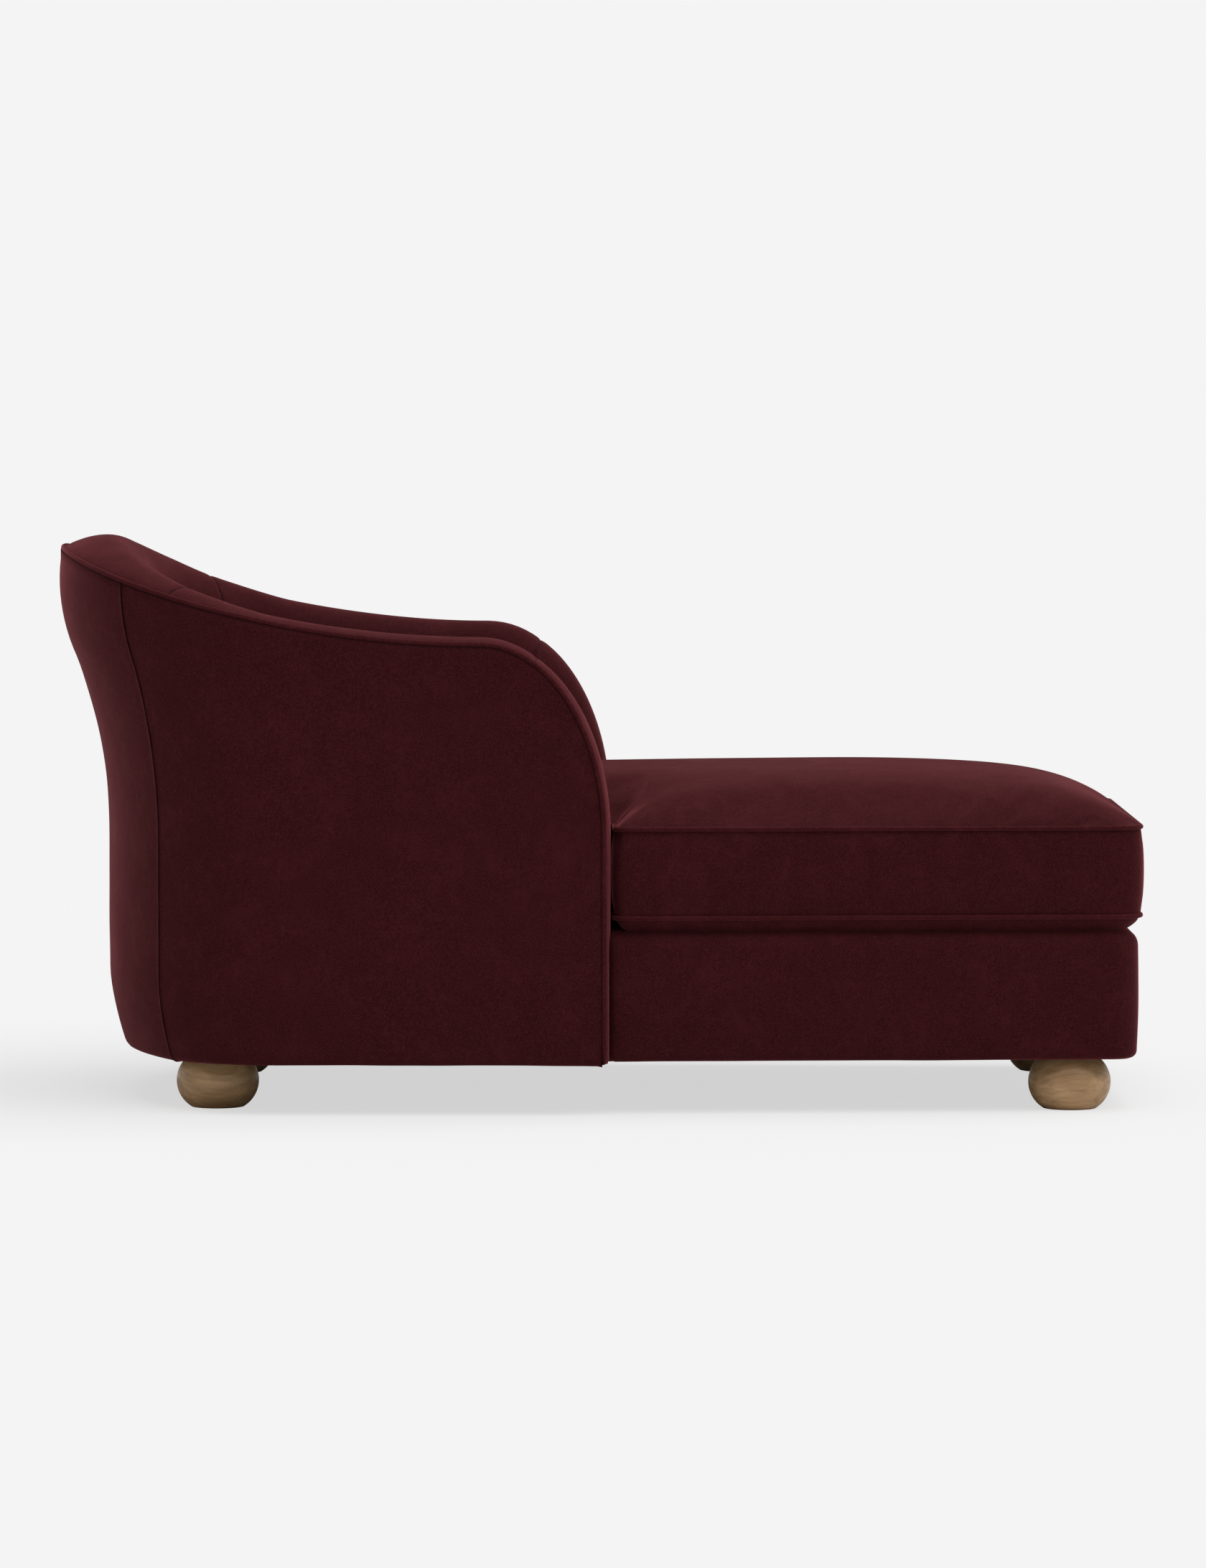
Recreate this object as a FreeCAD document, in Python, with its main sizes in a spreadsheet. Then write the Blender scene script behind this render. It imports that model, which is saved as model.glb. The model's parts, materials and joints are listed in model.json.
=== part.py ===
import FreeCAD, Part
import math
import os
import Sketcher
from FreeCAD import Vector

os.makedirs("parts", exist_ok=True)
doc = FreeCAD.newDocument("ChaiseLongue")

# Driving sizes in millimetres: the frame stands on the floor, +X towards the foot end, +Y to the sitter's left
sizes = [
    ("tub_half_width", 426.0), ("tub_bottom_height", 78.0), ("tub_round_start", -511.0),
    ("tub_round_depth", 262.0), ("tub_round_height", 200.0), ("tub_tuck", 27.0),
    ("flare_start_height", 420.0), ("flare_knee_height", 690.0), ("flare_peak_height", 810.0),
    ("flare_at_knee", 49.0), ("flare_peak", 77.0),
    ("rim_rear_height", 866.0), ("rim_rear_reach", 329.0), ("shoulder_height", 725.0),
    ("shoulder_start", -178.0), ("shoulder_depth", 295.0), ("arm_front", 14.0),
    ("arm_thickness", 110.0), ("back_extra_thickness", 30.0), ("crown_reach", 50.0), ("crown_extra_reach", 12.0),
    ("crown_height", 9.0), ("crown_extra_height", 8.0), ("outside_seam_angle", 52.0), ("inside_seam_angle", 66.0),
    ("front_seam_angle", 64.0),
    ("cloth", 3.0), ("fit_gap", 0.3), ("outer_wadding", 8.0), ("shell_thickness", 15.0), ("shell_below_rim", 34.0),
    ("rim_welt_radius", 4.0), ("rim_welt_clearance", 0.9), ("inner_padding_bottom", 226.6),
    ("base_start", 26.0), ("base_end", 839.0), ("base_bottom", 81.0), ("base_top", 281.0),
    ("base_half_width", 402.0), ("base_half_width_foot", 366.0), ("base_top_round", 24.0), ("base_bottom_round", 12.0),
    ("base_corner_round", 40.0), ("base_wadding", 10.0),
    ("rail_thickness", 28.0), ("rail_top", 222.0), ("board_bottom", 83.5), ("board_thickness", 15.0),
    ("board_front", 8.0), ("front_board_start", 640.0), ("block_leg", 110.0),
    ("arm_post_width", 40.0), ("arm_post_depth", 32.0), ("arm_post_top", 560.0), ("arm_post_setback", 24.0),
    ("strap_width", 60.0), ("strap_thickness", 1.8), ("cross_strap_spacing", 128.0), ("long_strap_spacing", 118.0),
    ("deck_cloth_thickness", 1.6), ("dust_cloth_thickness", 1.0),
    ("cushion_end", 846.5), ("cushion_ear_start", 27.5), ("cushion_top_welt_height", 440.0),
    ("cushion_bottom_welt_height", 303.0), ("cushion_crown", 80.0), ("cushion_belly", 4.0),
    ("cushion_side_gap", 6.0), ("cushion_back_gap", 8.0), ("cushion_corner_round", 42.0),
    ("cushion_rear_round", 100.0), ("cushion_rear_shift", 29.0), ("cushion_ear_round", 14.0), ("cushion_notch_round", 8.0),
    ("cushion_crown_reach", 300.0), ("cushion_crown_power", 2.8), ("cushion_underside_pull", 16.0),
    ("cushion_welt_radius", 3.5), ("cushion_wrap", 20.0), ("cushion_cloth", 2.0),
    ("cushion_fill_clearance", 1.0),
    ("zip_half_angle", 12.0), ("zip_width", 24.0), ("slider_travel_angle", 20.0),
    ("slider_length", 14.0), ("slider_width", 10.0), ("slider_depth", 3.0),
    ("foot_radius", 64.0), ("foot_flat_radius", 41.0), ("foot_height", 82.0), ("foot_rear_place", -588.0),
    ("foot_rear_spread", 271.0), ("foot_front_place", 737.0), ("foot_front_spread", 295.0),
    ("bolt_radius", 4.0), ("bolt_in_foot", 45.0), ("tee_nut_radius", 12.0), ("tee_nut_barrel_radius", 5.5),
    ("tee_nut_flange", 2.0), ("glide_radius", 17.0), ("glide_thickness", 3.0), ("bore_gap", 0.3),
]

sheet = doc.addObject("Spreadsheet::Sheet", "Sizes")
for row, (alias, value) in enumerate(sizes, start=1):
    sheet.set("A%d" % row, alias)
    sheet.set("B%d" % row, str(value))
    sheet.setAlias("B%d" % row, alias)
doc.recompute()


def size(alias):
    return float(sheet.get(alias))


cloth = size("cloth")
gap = size("fit_gap")
half_width = size("tub_half_width")
round_start = size("tub_round_start")
round_depth = size("tub_round_depth")
tub_bottom = size("tub_bottom_height")
round_height = size("tub_round_height")
flare_start = size("flare_start_height")
flare_knee = size("flare_knee_height")
shoulder_start = size("shoulder_start")
shoulder_height = size("shoulder_height")
shoulder_depth = size("shoulder_depth")
arm_front = size("arm_front")
arm_thickness = size("arm_thickness")
shoulder_reach = arm_front - shoulder_start
shoulder_base = shoulder_height - shoulder_depth
sides = {"left": 1, "right": -1}


# The tub's wall
# A station is one upright cut through the wall. The back's stations turn round an ellipse,
# the arm's run straight, the shoulder's turn round a side-view ellipse and the front's run down.

def flare(height):
    """How far the back leans out at a height, or tucks in below."""
    if height <= round_height:
        share = (round_height - height) / (round_height - tub_bottom)
        return -size("tub_tuck") * max(share, 0.0) ** 1.6
    if height <= flare_start:
        return 0.0
    if height <= flare_knee:
        return size("flare_at_knee") * ((height - flare_start) / (flare_knee - flare_start)) ** 2
    peak_height = size("flare_peak_height")
    share = (peak_height - height) / (peak_height - flare_knee)
    return size("flare_peak") - (size("flare_peak") - size("flare_at_knee")) * share ** 2


def rim_height(x):
    """The rim falls as a parabola from the back to the shoulder."""
    rear = round_start - size("rim_rear_reach")
    share = (shoulder_start - x) / (shoulder_start - rear)
    return shoulder_height + (size("rim_rear_height") - shoulder_height) * max(share, 0.0) ** 2


class Station:
    """A cut of the wall: place(inset, height) and roll(inset, rise above the rim) give points."""

    def __init__(self, kind, value, side):
        self.kind = kind
        self.value = value
        self.side = side
        self.weight = 0.0
        if kind == "back":
            cosine = max(math.cos(math.radians(value)), 0.0)
            self.weight = cosine * (3.0 - cosine) / 2.0
            rim_reach = size("rim_rear_reach") - round_depth
            self.rim = rim_height(round_start - round_depth * cosine - rim_reach * self.weight)
        elif kind == "arm":
            self.rim = rim_height(value)
        self.thickness = arm_thickness + size("back_extra_thickness") * self.weight
        self.crown_reach = size("crown_reach") + size("crown_extra_reach") * self.weight
        self.crown_height = size("crown_height") + size("crown_extra_height") * self.weight
        self.inner_radius = self.thickness - self.crown_reach

    def place(self, inset, height):
        if self.kind == "arm":
            return Vector(self.value, self.side * (half_width - inset), height)
        angle = math.radians(self.value)
        reach = (round_depth - inset) * math.cos(angle) + flare(height) * self.weight
        return Vector(round_start - reach, self.side * (half_width - inset) * math.sin(angle), height)

    def roll(self, inset, rise):
        across = self.side * (half_width - inset)
        if self.kind == "shoulder":
            angle = math.radians(self.value)
            return Vector(shoulder_start + (shoulder_reach + rise) * math.cos(angle), across,
                          shoulder_base + (shoulder_depth + rise) * math.sin(angle))
        if self.kind == "front":
            return Vector(arm_front + rise, across, self.value)
        return self.place(inset, self.rim + rise)

    def rise(self, inset, depth):
        """Rise of the roll above the rim at an inset, for a surface lying depth below the outside."""
        if inset <= self.crown_reach:
            share = (self.crown_reach - inset) / self.crown_reach
            return self.crown_height * (1.0 - share ** 2) - depth
        radius = self.inner_radius - depth
        across = min(inset - self.crown_reach, radius)
        upward = 0.0 if radius - across < 0.001 else math.sqrt(radius ** 2 - across ** 2)
        return self.crown_height - self.inner_radius + upward


def back_stations(first, last, count, side=1):
    return [Station("back", first + (last - first) * i / (count - 1), side) for i in range(count)]


def arm_stations(side, count=4):
    start = round_start
    return [Station("arm", start + (shoulder_start - start) * i / (count - 1), side) for i in range(count)]


def shoulder_stations(first, last, count, side):
    return [Station("shoulder", first + (last - first) * i / (count - 1), side) for i in range(count)]


def front_stations(side, count=3):
    return [Station("front", shoulder_base + (tub_bottom - shoulder_base) * i / (count - 1), side)
            for i in range(count)]


def bend(first, middle, last):
    """An arc through three points, or the line if they don't bend."""
    chord = last - first
    off = (middle - first).cross(chord).Length / chord.Length
    if off < 0.02:
        return Part.LineSegment(first, last).toShape()
    return Part.Arc(first, middle, last).toShape()


def upright(station, inset, low, high):
    """Edges up the wall at one inset, broken where the flare changes."""
    knee = min(flare_knee, max(low, high) - 20.0)
    levels = [round_height, flare_start, knee] if min(low, high) < round_height else [flare_start, knee]
    heights = [low] + levels + [high]
    heights.sort(reverse=low > high)
    edges = []
    for start, end in zip(heights, heights[1:]):
        edges.append(bend(station.place(inset, start), station.place(inset, (start + end) / 2.0),
                          station.place(inset, end)))
    return edges


def roll_edges(station, start_inset, depth):
    """Edges over the rolled top, from the outer edge over the crown to the inner face."""
    radius = station.inner_radius - depth
    middle = (start_inset + station.crown_reach) / 2.0
    end = station.thickness - depth
    turn = station.crown_reach + radius * math.sin(math.pi / 4.0)
    insets = [start_inset, middle, station.crown_reach, turn, end]
    points = [station.roll(inset, station.rise(inset, depth)) for inset in insets]
    return [bend(*points[0:3]), bend(*points[2:5])]


def line(first, last):
    return Part.LineSegment(first, last).toShape()


def end_point(edges):
    last = edges[-1]
    return last.valueAt(last.LastParameter)


def joined(*chains):
    """One closed wire from chains of edges, with straight edges between them."""
    edges = []
    for chain in chains:
        if edges:
            edges.append(line(end_point(edges), chain[0].valueAt(chain[0].FirstParameter)))
        edges.extend(chain)
    edges.append(line(end_point(edges), edges[0].valueAt(edges[0].FirstParameter)))
    return Part.Wire(edges)


def backwards(edges):
    """The same edges run the other way."""
    turned = []
    for edge in reversed(edges):
        first = edge.valueAt(edge.LastParameter)
        middle = edge.valueAt((edge.FirstParameter + edge.LastParameter) / 2.0)
        turned.append(bend(first, middle, edge.valueAt(edge.FirstParameter)))
    return turned


def loft(wires, ruled=False):
    return Part.makeLoft(wires, True, ruled)


def feature(label, shape):
    item = doc.addObject("Part::Feature", label)
    item.Label = label
    item.Shape = shape
    item.Placement = shape.Placement
    return item


# Covers of the tub

welt_room = size("rim_welt_radius") + size("rim_welt_clearance")
slot_inset = cloth + gap + size("outer_wadding")
slot_depth = size("shell_thickness") + 2.0 * gap


def seam_wedge(degrees, room):
    """The space behind the two upright planes through a seam, widened by room."""
    angle = math.radians(degrees)
    far = 3.0 * half_width
    out = Vector(-round_depth * math.cos(angle), half_width * math.sin(angle), 0).normalize()
    side_step = room / abs(out.x)
    corners = [Vector(round_start, side_step, 0), Vector(round_start + far * out.x, side_step + far * out.y, 0)]
    corners.append(Vector(round_start - 2.0 * far, corners[1].y, 0))
    corners += [Vector(p.x, -p.y, 0) for p in reversed(corners)]
    return Part.Face(Part.makePolygon(corners + corners[:1])).extrude(Vector(0, 0, 1000.0))


def outside_section(station):
    top = station.rim - welt_room
    return joined(upright(station, 0.0, tub_bottom, top), upright(station, cloth, top, tub_bottom))


def inside_section(station):
    low = size("inner_padding_bottom")
    high = station.rim + station.rise(station.thickness, 0.0)
    outer = roll_edges(station, welt_room, 0.0) + upright(station, station.thickness, high, low)
    inner = roll_edges(station, welt_room, cloth) + upright(station, station.thickness - cloth, high, low)
    return joined(outer, backwards(inner))


def roll_section(station):
    return joined(roll_edges(station, welt_room, 0.0), backwards(roll_edges(station, welt_room, cloth)))


def arm_outline(side, inset, rise, low, start=round_start):
    """Side view of an arm at an inset, its rim raised by rise: bottom, front, shoulder and slope."""
    across = side * (half_width - inset)

    def at(x, z):
        return Vector(x, across, z)

    crest = shoulder_height + rise
    bottom = min(low, shoulder_base - 1.0)
    ellipse = Part.Ellipse(at(shoulder_start, crest), at(arm_front + rise, shoulder_base),
                           at(shoulder_start, shoulder_base))
    shoulder = Part.ArcOfEllipse(ellipse, 0.0, math.pi / 2.0).toShape()
    front = line(at(arm_front + rise, shoulder_base), at(arm_front + rise, bottom))
    if start >= shoulder_start:
        edges = [shoulder, front, line(at(arm_front + rise, bottom), at(shoulder_start, bottom)),
                 line(at(shoulder_start, bottom), at(shoulder_start, crest))]
        return Part.Wire(edges)
    slope = Part.BezierCurve()
    slope.setPoles([at(start, rim_height(start) + rise), at((start + shoulder_start) / 2.0, crest),
                    at(shoulder_start, crest)])
    edges = [slope.toShape(), shoulder, front, line(at(arm_front + rise, bottom), at(start, bottom)),
             line(at(start, bottom), at(start, rim_height(start) + rise))]
    return Part.Wire(edges)


def plate(outline, thickness, side):
    return Part.Face(outline).extrude(Vector(0, -side * thickness, 0))


def outside_arm_cover(side):
    half = loft([outside_section(station) for station in back_stations(0.0, 90.0, 9, side)])
    curved = half.cut(seam_wedge(size("outside_seam_angle"), gap))
    flat = plate(arm_outline(side, 0.0, -welt_room, tub_bottom), cloth, side)
    return curved.fuse(flat)


def inside_arm_cover(side):
    half = loft([inside_section(station) for station in back_stations(0.0, 90.0, 9, side)])
    curved = half.cut(seam_wedge(size("inside_seam_angle"), gap))
    straight = loft([inside_section(station) for station in arm_stations(side)])
    sample = Station("shoulder", 90.0, side)
    drop = sample.rise(sample.thickness, 0.0)
    flat = plate(arm_outline(side, arm_thickness - cloth, drop - gap, size("inner_padding_bottom"), shoulder_start),
                 cloth, side)
    seam_turn = math.degrees(gap / shoulder_depth)
    rolled = loft([roll_section(station)
                   for station in shoulder_stations(90.0, size("front_seam_angle") + seam_turn, 4, side)])
    return curved.fuse([straight, flat, rolled])


def arm_front_cover(side):
    """The arm's front panel: whole above the deck, and below it the strip outside the rails."""
    stations = shoulder_stations(size("front_seam_angle"), 0.0, 6, side)
    over = loft([roll_section(station) for station in stations])
    down = loft([roll_section(station) for station in front_stations(side)], True)
    panel_face = half_width - slot_inset - slot_depth + gap
    seat_frame = Part.makeBox(2.0 * half_width, 2.0 * panel_face, size("inner_padding_bottom"),
                              Vector(-half_width, -panel_face, 0))
    return over.fuse(down.cut(seat_frame))


whole_outside = loft([outside_section(station) for station in back_stations(-90.0, 90.0, 17)])
feature("outside_back_cover", whole_outside.common(seam_wedge(size("outside_seam_angle"), 0.0)))
whole_inside = loft([inside_section(station) for station in back_stations(-90.0, 90.0, 17)])
feature("inside_back_cover", whole_inside.common(seam_wedge(size("inside_seam_angle"), 0.0)))
for name, side in sides.items():
    feature("outside_arm_cover_" + name, outside_arm_cover(side))
    feature("inside_arm_cover_" + name, inside_arm_cover(side))
    feature("arm_front_cover_" + name, arm_front_cover(side))


# The welt along the outer rim

def rim_path():
    """Points along the rim, from the right arm's foot round the back to the left arm's foot."""
    half = [station.roll(0.0, 0.0) for station in reversed(front_stations(1))]
    half += [station.roll(0.0, 0.0) for station in shoulder_stations(0.0, 90.0, 19, 1)][1:]
    half += [station.roll(0.0, 0.0) for station in reversed(arm_stations(1))][1:]
    half += [station.roll(0.0, 0.0) for station in reversed(back_stations(0.0, 90.0, 31))][1:]
    mirrored = [Vector(p.x, -p.y, p.z) for p in reversed(half[:-1])]
    return half + mirrored


def tube(points, radius):
    """A round tube through points, as a ruled loft of circles."""
    circles = []
    for i, point in enumerate(points):
        ahead = points[min(i + 1, len(points) - 1)]
        behind = points[max(i - 1, 0)]
        circles.append(Part.Wire(Part.Circle(point, ahead - behind, radius).toShape()))
    return loft(circles, True)


feature("rim_welt", tube(rim_path(), size("rim_welt_radius")))


# Padding of the tub: the foam wraps the bent shell and the arm panels, and is slotted for them

padding_start = cloth + gap
padding_low = size("board_bottom")
padding_inner_low = size("inner_padding_bottom")


def padding_section(station):
    top = station.rim - welt_room - gap
    slot_top = station.rim - size("shell_below_rim") + gap
    start = welt_room + gap
    inner = station.thickness - padding_start
    high = station.rim + station.rise(station.thickness, 0.0)
    outside = upright(station, padding_start, padding_low, top)
    over = roll_edges(station, start, padding_start) + upright(station, inner, high, padding_inner_low)
    slot_inner = upright(station, slot_inset + slot_depth, padding_inner_low, slot_top)
    slot_outer = upright(station, slot_inset, slot_top, padding_low)
    return joined(outside, over, slot_inner, slot_outer)


def shell_section(station):
    top = station.rim - size("shell_below_rim")
    outer = slot_inset + gap
    inner = outer + size("shell_thickness")
    return joined(upright(station, outer, padding_low, top), upright(station, inner, top, padding_low))


def arm_padding(side):
    """One arm's foam: side views stacked across the arm, each raised as the roll is."""
    sample = Station("arm", shoulder_start, side)
    start = round_start + gap
    reach = sample.crown_reach
    radius = sample.inner_radius - padding_start
    shares = [0.0, 0.45, 0.7, 0.87, 1.0]
    insets = [welt_room + gap, (welt_room + reach) / 2.0, reach]
    insets += [reach + radius * share for share in shares[1:]]
    rises = [sample.rise(inset, padding_start) for inset in insets]
    outlines = [arm_outline(side, padding_start, -welt_room - gap, padding_low, start)]
    step = arm_outline(side, insets[0], -welt_room - gap, padding_low, start)
    outer = loft([outlines[0], step], True)
    body = loft([arm_outline(side, inset, rise, padding_low, start) for inset, rise in zip(insets, rises)])
    foam = outer.fuse(body)
    slot_rise = -size("shell_below_rim") + gap
    slot = plate(arm_outline(side, slot_inset, slot_rise, padding_low - 1.0, start - 1.0), slot_depth, side)
    under = Part.makeBox(arm_front - start + 60.0, arm_thickness, padding_inner_low - padding_low + 1.0,
                         Vector(start - 1.0, 0, padding_low - 1.0))
    under.translate(Vector(0, half_width - slot_inset - arm_thickness, 0))
    post = arm_post_box(gap)
    if side < 0:
        under = under.mirror(Vector(0, 0, 0), Vector(0, 1, 0))
        post = post.mirror(Vector(0, 0, 0), Vector(0, 1, 0))
    return foam.cut([slot, under, post])


def arm_post_box(room):
    """The hardwood post in an arm's front, with room added round it."""
    outer = half_width - slot_inset - slot_depth + gap
    x_low = arm_front - size("arm_post_setback") - size("arm_post_depth")
    low = size("inner_padding_bottom") + gap
    return Part.makeBox(size("arm_post_depth") + 2.0 * room, size("arm_post_width") + 2.0 * room,
                        size("arm_post_top") - low + 2.0 * room,
                        Vector(x_low - room, outer - size("arm_post_width") - gap - room, low - room))


feature("back_foam", loft([padding_section(s) for s in back_stations(-90.0, 90.0, 17)]))
feature("back_shell", loft([shell_section(s) for s in back_stations(-90.0, 90.0, 17)]))
for name, side in sides.items():
    feature("arm_foam_" + name, arm_padding(side))
    panel = arm_outline(side, slot_inset + gap, -size("shell_below_rim"), padding_low, round_start + 2.0 * gap)
    feature("arm_panel_" + name, plate(panel, size("shell_thickness"), side))


# Helpers for drawn bodies

def plane_of(body, role):
    for item in body.Origin.OriginFeatures:
        if item.Role == role:
            return item
    raise ValueError(role)


def new_body(label):
    body = doc.addObject("PartDesign::Body", label)
    body.Label = label
    return body


def new_sketch(body, name, role):
    sketch = body.newObject("Sketcher::SketchObject", name)
    sketch.AttachmentSupport = (plane_of(body, role), [""])
    sketch.MapMode = "FlatFace"
    return sketch


def bind_point(sketch, geometry, end, across, along):
    """Ties one point of a sketch to the sheet; None leaves it on that axis."""
    for kind, axis, expression in (("DistanceX", -2, across), ("DistanceY", -1, along)):
        if expression is None:
            sketch.addConstraint(Sketcher.Constraint("PointOnObject", geometry, end, axis))
            continue
        point = sketch.getPoint(geometry, end)
        now = point.x if kind == "DistanceX" else point.y
        index = sketch.addConstraint(Sketcher.Constraint(kind, -1, 1, geometry, end, now))
        sketch.setExpression("Constraints[%d]" % index, expression)


def draw_polygon(sketch, corners):
    """A closed outline whose corners are pairs of expressions and first guesses."""
    count = len(corners)
    for i in range(count):
        first, last = corners[i][2], corners[(i + 1) % count][2]
        sketch.addGeometry(Part.LineSegment(Vector(*first, 0), Vector(*last, 0)), False)
    for i in range(count):
        sketch.addConstraint(Sketcher.Constraint("Coincident", i, 2, (i + 1) % count, 1))
    for i in range(count):
        bind_point(sketch, i, 1, corners[i][0], corners[i][1])


def pad(body, sketch, length):
    feature_pad = body.newObject("PartDesign::Pad", body.Name + "Pad")
    feature_pad.Profile = sketch
    feature_pad.setExpression("Length", length)
    sketch.Visibility = False
    return feature_pad


def place(body, x, y, z):
    for axis, expression in (("x", x), ("y", y), ("z", z)):
        body.setExpression("Placement.Base." + axis, expression)


def beam(label, length, depth, height, x, y, z):
    """A straight rail: a rectangle padded up, with its low corner placed."""
    body = new_body(label)
    sketch = new_sketch(body, body.Name + "Outline", "XY_Plane")
    draw_polygon(sketch, [(None, None, (0, 0)), (length, None, (50, 0)), (length, depth, (50, 20)),
                          (None, depth, (0, 20))])
    pad(body, sketch, height)
    place(body, x, y, z)
    return body


# Rails and posts: the tub's rails lie inside its panels and the seat's rails narrow towards the foot

board_top = "(Sizes.board_bottom + Sizes.board_thickness + Sizes.fit_gap)"
rail_height = "(Sizes.rail_top - %s)" % board_top
panel_inner = "(Sizes.tub_half_width - Sizes.cloth - 4 * Sizes.fit_gap - Sizes.outer_wadding - Sizes.shell_thickness)"
rail_inset = "(Sizes.cloth + Sizes.base_wadding + 2 * Sizes.fit_gap)"
base_slope = "((Sizes.base_half_width - Sizes.base_half_width_foot) / (Sizes.base_end - Sizes.base_start))"
rail_near = "(Sizes.base_half_width - (1 + %s) * %s)" % (base_slope, rail_inset)
rail_setback = "(%s + Sizes.rail_thickness + Sizes.fit_gap)" % rail_inset
rail_far = "(Sizes.base_half_width_foot + %s * %s - %s)" % (base_slope, rail_setback, rail_inset)
rail_end = "(Sizes.base_end - %s)" % rail_inset
seat_rail_start = "(Sizes.base_start + %s)" % rail_inset

for name, side in sides.items():
    tub_rail_y = "-1 * %s" % panel_inner if side < 0 else "%s - Sizes.rail_thickness" % panel_inner
    beam("tub_rail_" + name, "Sizes.board_front - Sizes.fit_gap - Sizes.tub_round_start - Sizes.fit_gap",
         "Sizes.rail_thickness", rail_height, "Sizes.tub_round_start + Sizes.fit_gap", tub_rail_y, board_top)
    rail = new_body("seat_rail_" + name)
    outline = new_sketch(rail, rail.Name + "Outline", "XY_Plane")
    rail_length = "%s - Sizes.rail_thickness - Sizes.fit_gap - %s" % (rail_end, seat_rail_start)
    drawn = [(None, rail_near, (0, 390)), (rail_length, rail_far, (760, 355)),
             (rail_length, rail_far + " - Sizes.rail_thickness", (760, 327)),
             (None, rail_near + " - Sizes.rail_thickness", (0, 362))]
    if side < 0:
        drawn = [(x, "-1 * (%s)" % y, (guess[0], -guess[1])) for x, y, guess in drawn]
    draw_polygon(outline, drawn)
    pad(rail, outline, rail_height)
    place(rail, seat_rail_start, "0", board_top)
    post = feature("arm_post_" + name, arm_post_box(0.0))
    if side < 0:
        post.Shape = post.Shape.mirror(Vector(0, 0, 0), Vector(0, 1, 0))

beam("foot_end_rail", "Sizes.rail_thickness", "2 * (%s - 0.75 * Sizes.base_corner_round)" % rail_far, rail_height,
     "%s - Sizes.rail_thickness" % rail_end, "-1 * (%s - 0.75 * Sizes.base_corner_round)" % rail_far, board_top)
beam("middle_rail", "%s - Sizes.board_front - 2 * Sizes.fit_gap" % seat_rail_start,
     "2 * %s" % rail_near, rail_height, "Sizes.board_front + Sizes.fit_gap", "-1 * %s" % rail_near, board_top)


# Boards, the bent back rail, straps, foam and cloths

board_low = size("board_bottom")
board_high = board_low + size("board_thickness")
rail_top = size("rail_top")
shell_inner = slot_inset + 2.0 * gap + size("shell_thickness")


def level_arc(inset, height, span=90.0):
    """The tub's round in plan at an inset and height, as arcs through its points."""
    stations = back_stations(-span, span, 17)
    points = [station.place(inset, height) for station in stations]
    return [bend(*points[i:i + 3]) for i in range(0, 16, 2)]


def round_board(inset, front, low, thickness):
    """A board with the tub's round behind and straight sides to its front edge."""
    arcs = level_arc(inset, low)
    first = arcs[0].valueAt(arcs[0].FirstParameter)
    last = end_point(arcs)
    corner_last = Vector(front, last.y, low)
    corner_first = Vector(front, first.y, low)
    wire = Part.Wire(arcs + [line(last, corner_last), line(corner_last, corner_first), line(corner_first, first)])
    return Part.Face(wire).extrude(Vector(0, 0, thickness))


def base_reach(x):
    """Half width of the base at a place along it."""
    share = (x - size("base_start")) / (size("base_end") - size("base_start"))
    return size("base_half_width") + (size("base_half_width_foot") - size("base_half_width")) * share


def tapered_board(x_low, x_high, inset, low, thickness):
    """A level board that narrows with the base."""
    near, far = base_reach(x_low) - inset, base_reach(x_high) - inset
    corners = [Vector(x_low, -near, low), Vector(x_high, -far, low), Vector(x_high, far, low), Vector(x_low, near, low)]
    return Part.Face(Part.makePolygon(corners + corners[:1])).extrude(Vector(0, 0, thickness))


def round_front(board):
    """Rounds a board's two front corners as the base's corners are."""
    front = size("base_end") - board_inset
    uprights = [e for e in board.Edges if e.BoundBox.XMin > front - 0.1 and e.BoundBox.ZLength > 0.5
                and e.BoundBox.YLength < 0.1]
    return board.makeFillet(size("base_corner_round") - board_inset, uprights)


foot_places = {
    "front_left": (size("foot_front_place"), size("foot_front_spread")),
    "front_right": (size("foot_front_place"), -size("foot_front_spread")),
    "rear_left": (size("foot_rear_place"), size("foot_rear_spread")),
    "rear_right": (size("foot_rear_place"), -size("foot_rear_spread")),
}


def foot_holes(radius, low, high):
    return [Part.makeCylinder(radius, high - low, Vector(x, y, low)) for x, y in foot_places.values()]


board_inset = size("cloth") + size("base_wadding") + 2.0 * gap
nut_hole = size("tee_nut_barrel_radius") + size("bore_gap")
bolt_hole = size("bolt_radius") + size("bore_gap")
floor_board = round_board(shell_inner + gap, size("board_front"), board_low, size("board_thickness"))
feature("tub_floor_board", floor_board.cut(foot_holes(nut_hole, 0.0, board_high + 1.0)))
front_board = tapered_board(size("front_board_start"), size("base_end") - board_inset, board_inset,
                            board_low, size("board_thickness"))
front_board = round_front(front_board)
feature("front_floor_board", front_board.cut(foot_holes(nut_hole, 0.0, board_high + 1.0)))

dust_low = size("foot_height")
dust_front = tapered_board(size("board_front"), size("base_end") - board_inset, board_inset, dust_low,
                           size("dust_cloth_thickness"))
dust_front = round_front(dust_front)
dust_cover = round_board(shell_inner + gap, size("board_front"), dust_low, size("dust_cloth_thickness"))
feature("dust_cover", dust_cover.fuse(dust_front).cut(foot_holes(bolt_hole, 0.0, board_low)))


def back_rail_section(station):
    inner = shell_inner + size("rail_thickness")
    low = board_high + gap
    return joined([line(station.place(shell_inner, low), station.place(shell_inner, rail_top))],
                  [line(station.place(inner, rail_top), station.place(inner, low))])


feature("back_rail", loft([back_rail_section(s) for s in back_stations(-89.8, 89.8, 13)]))


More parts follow.
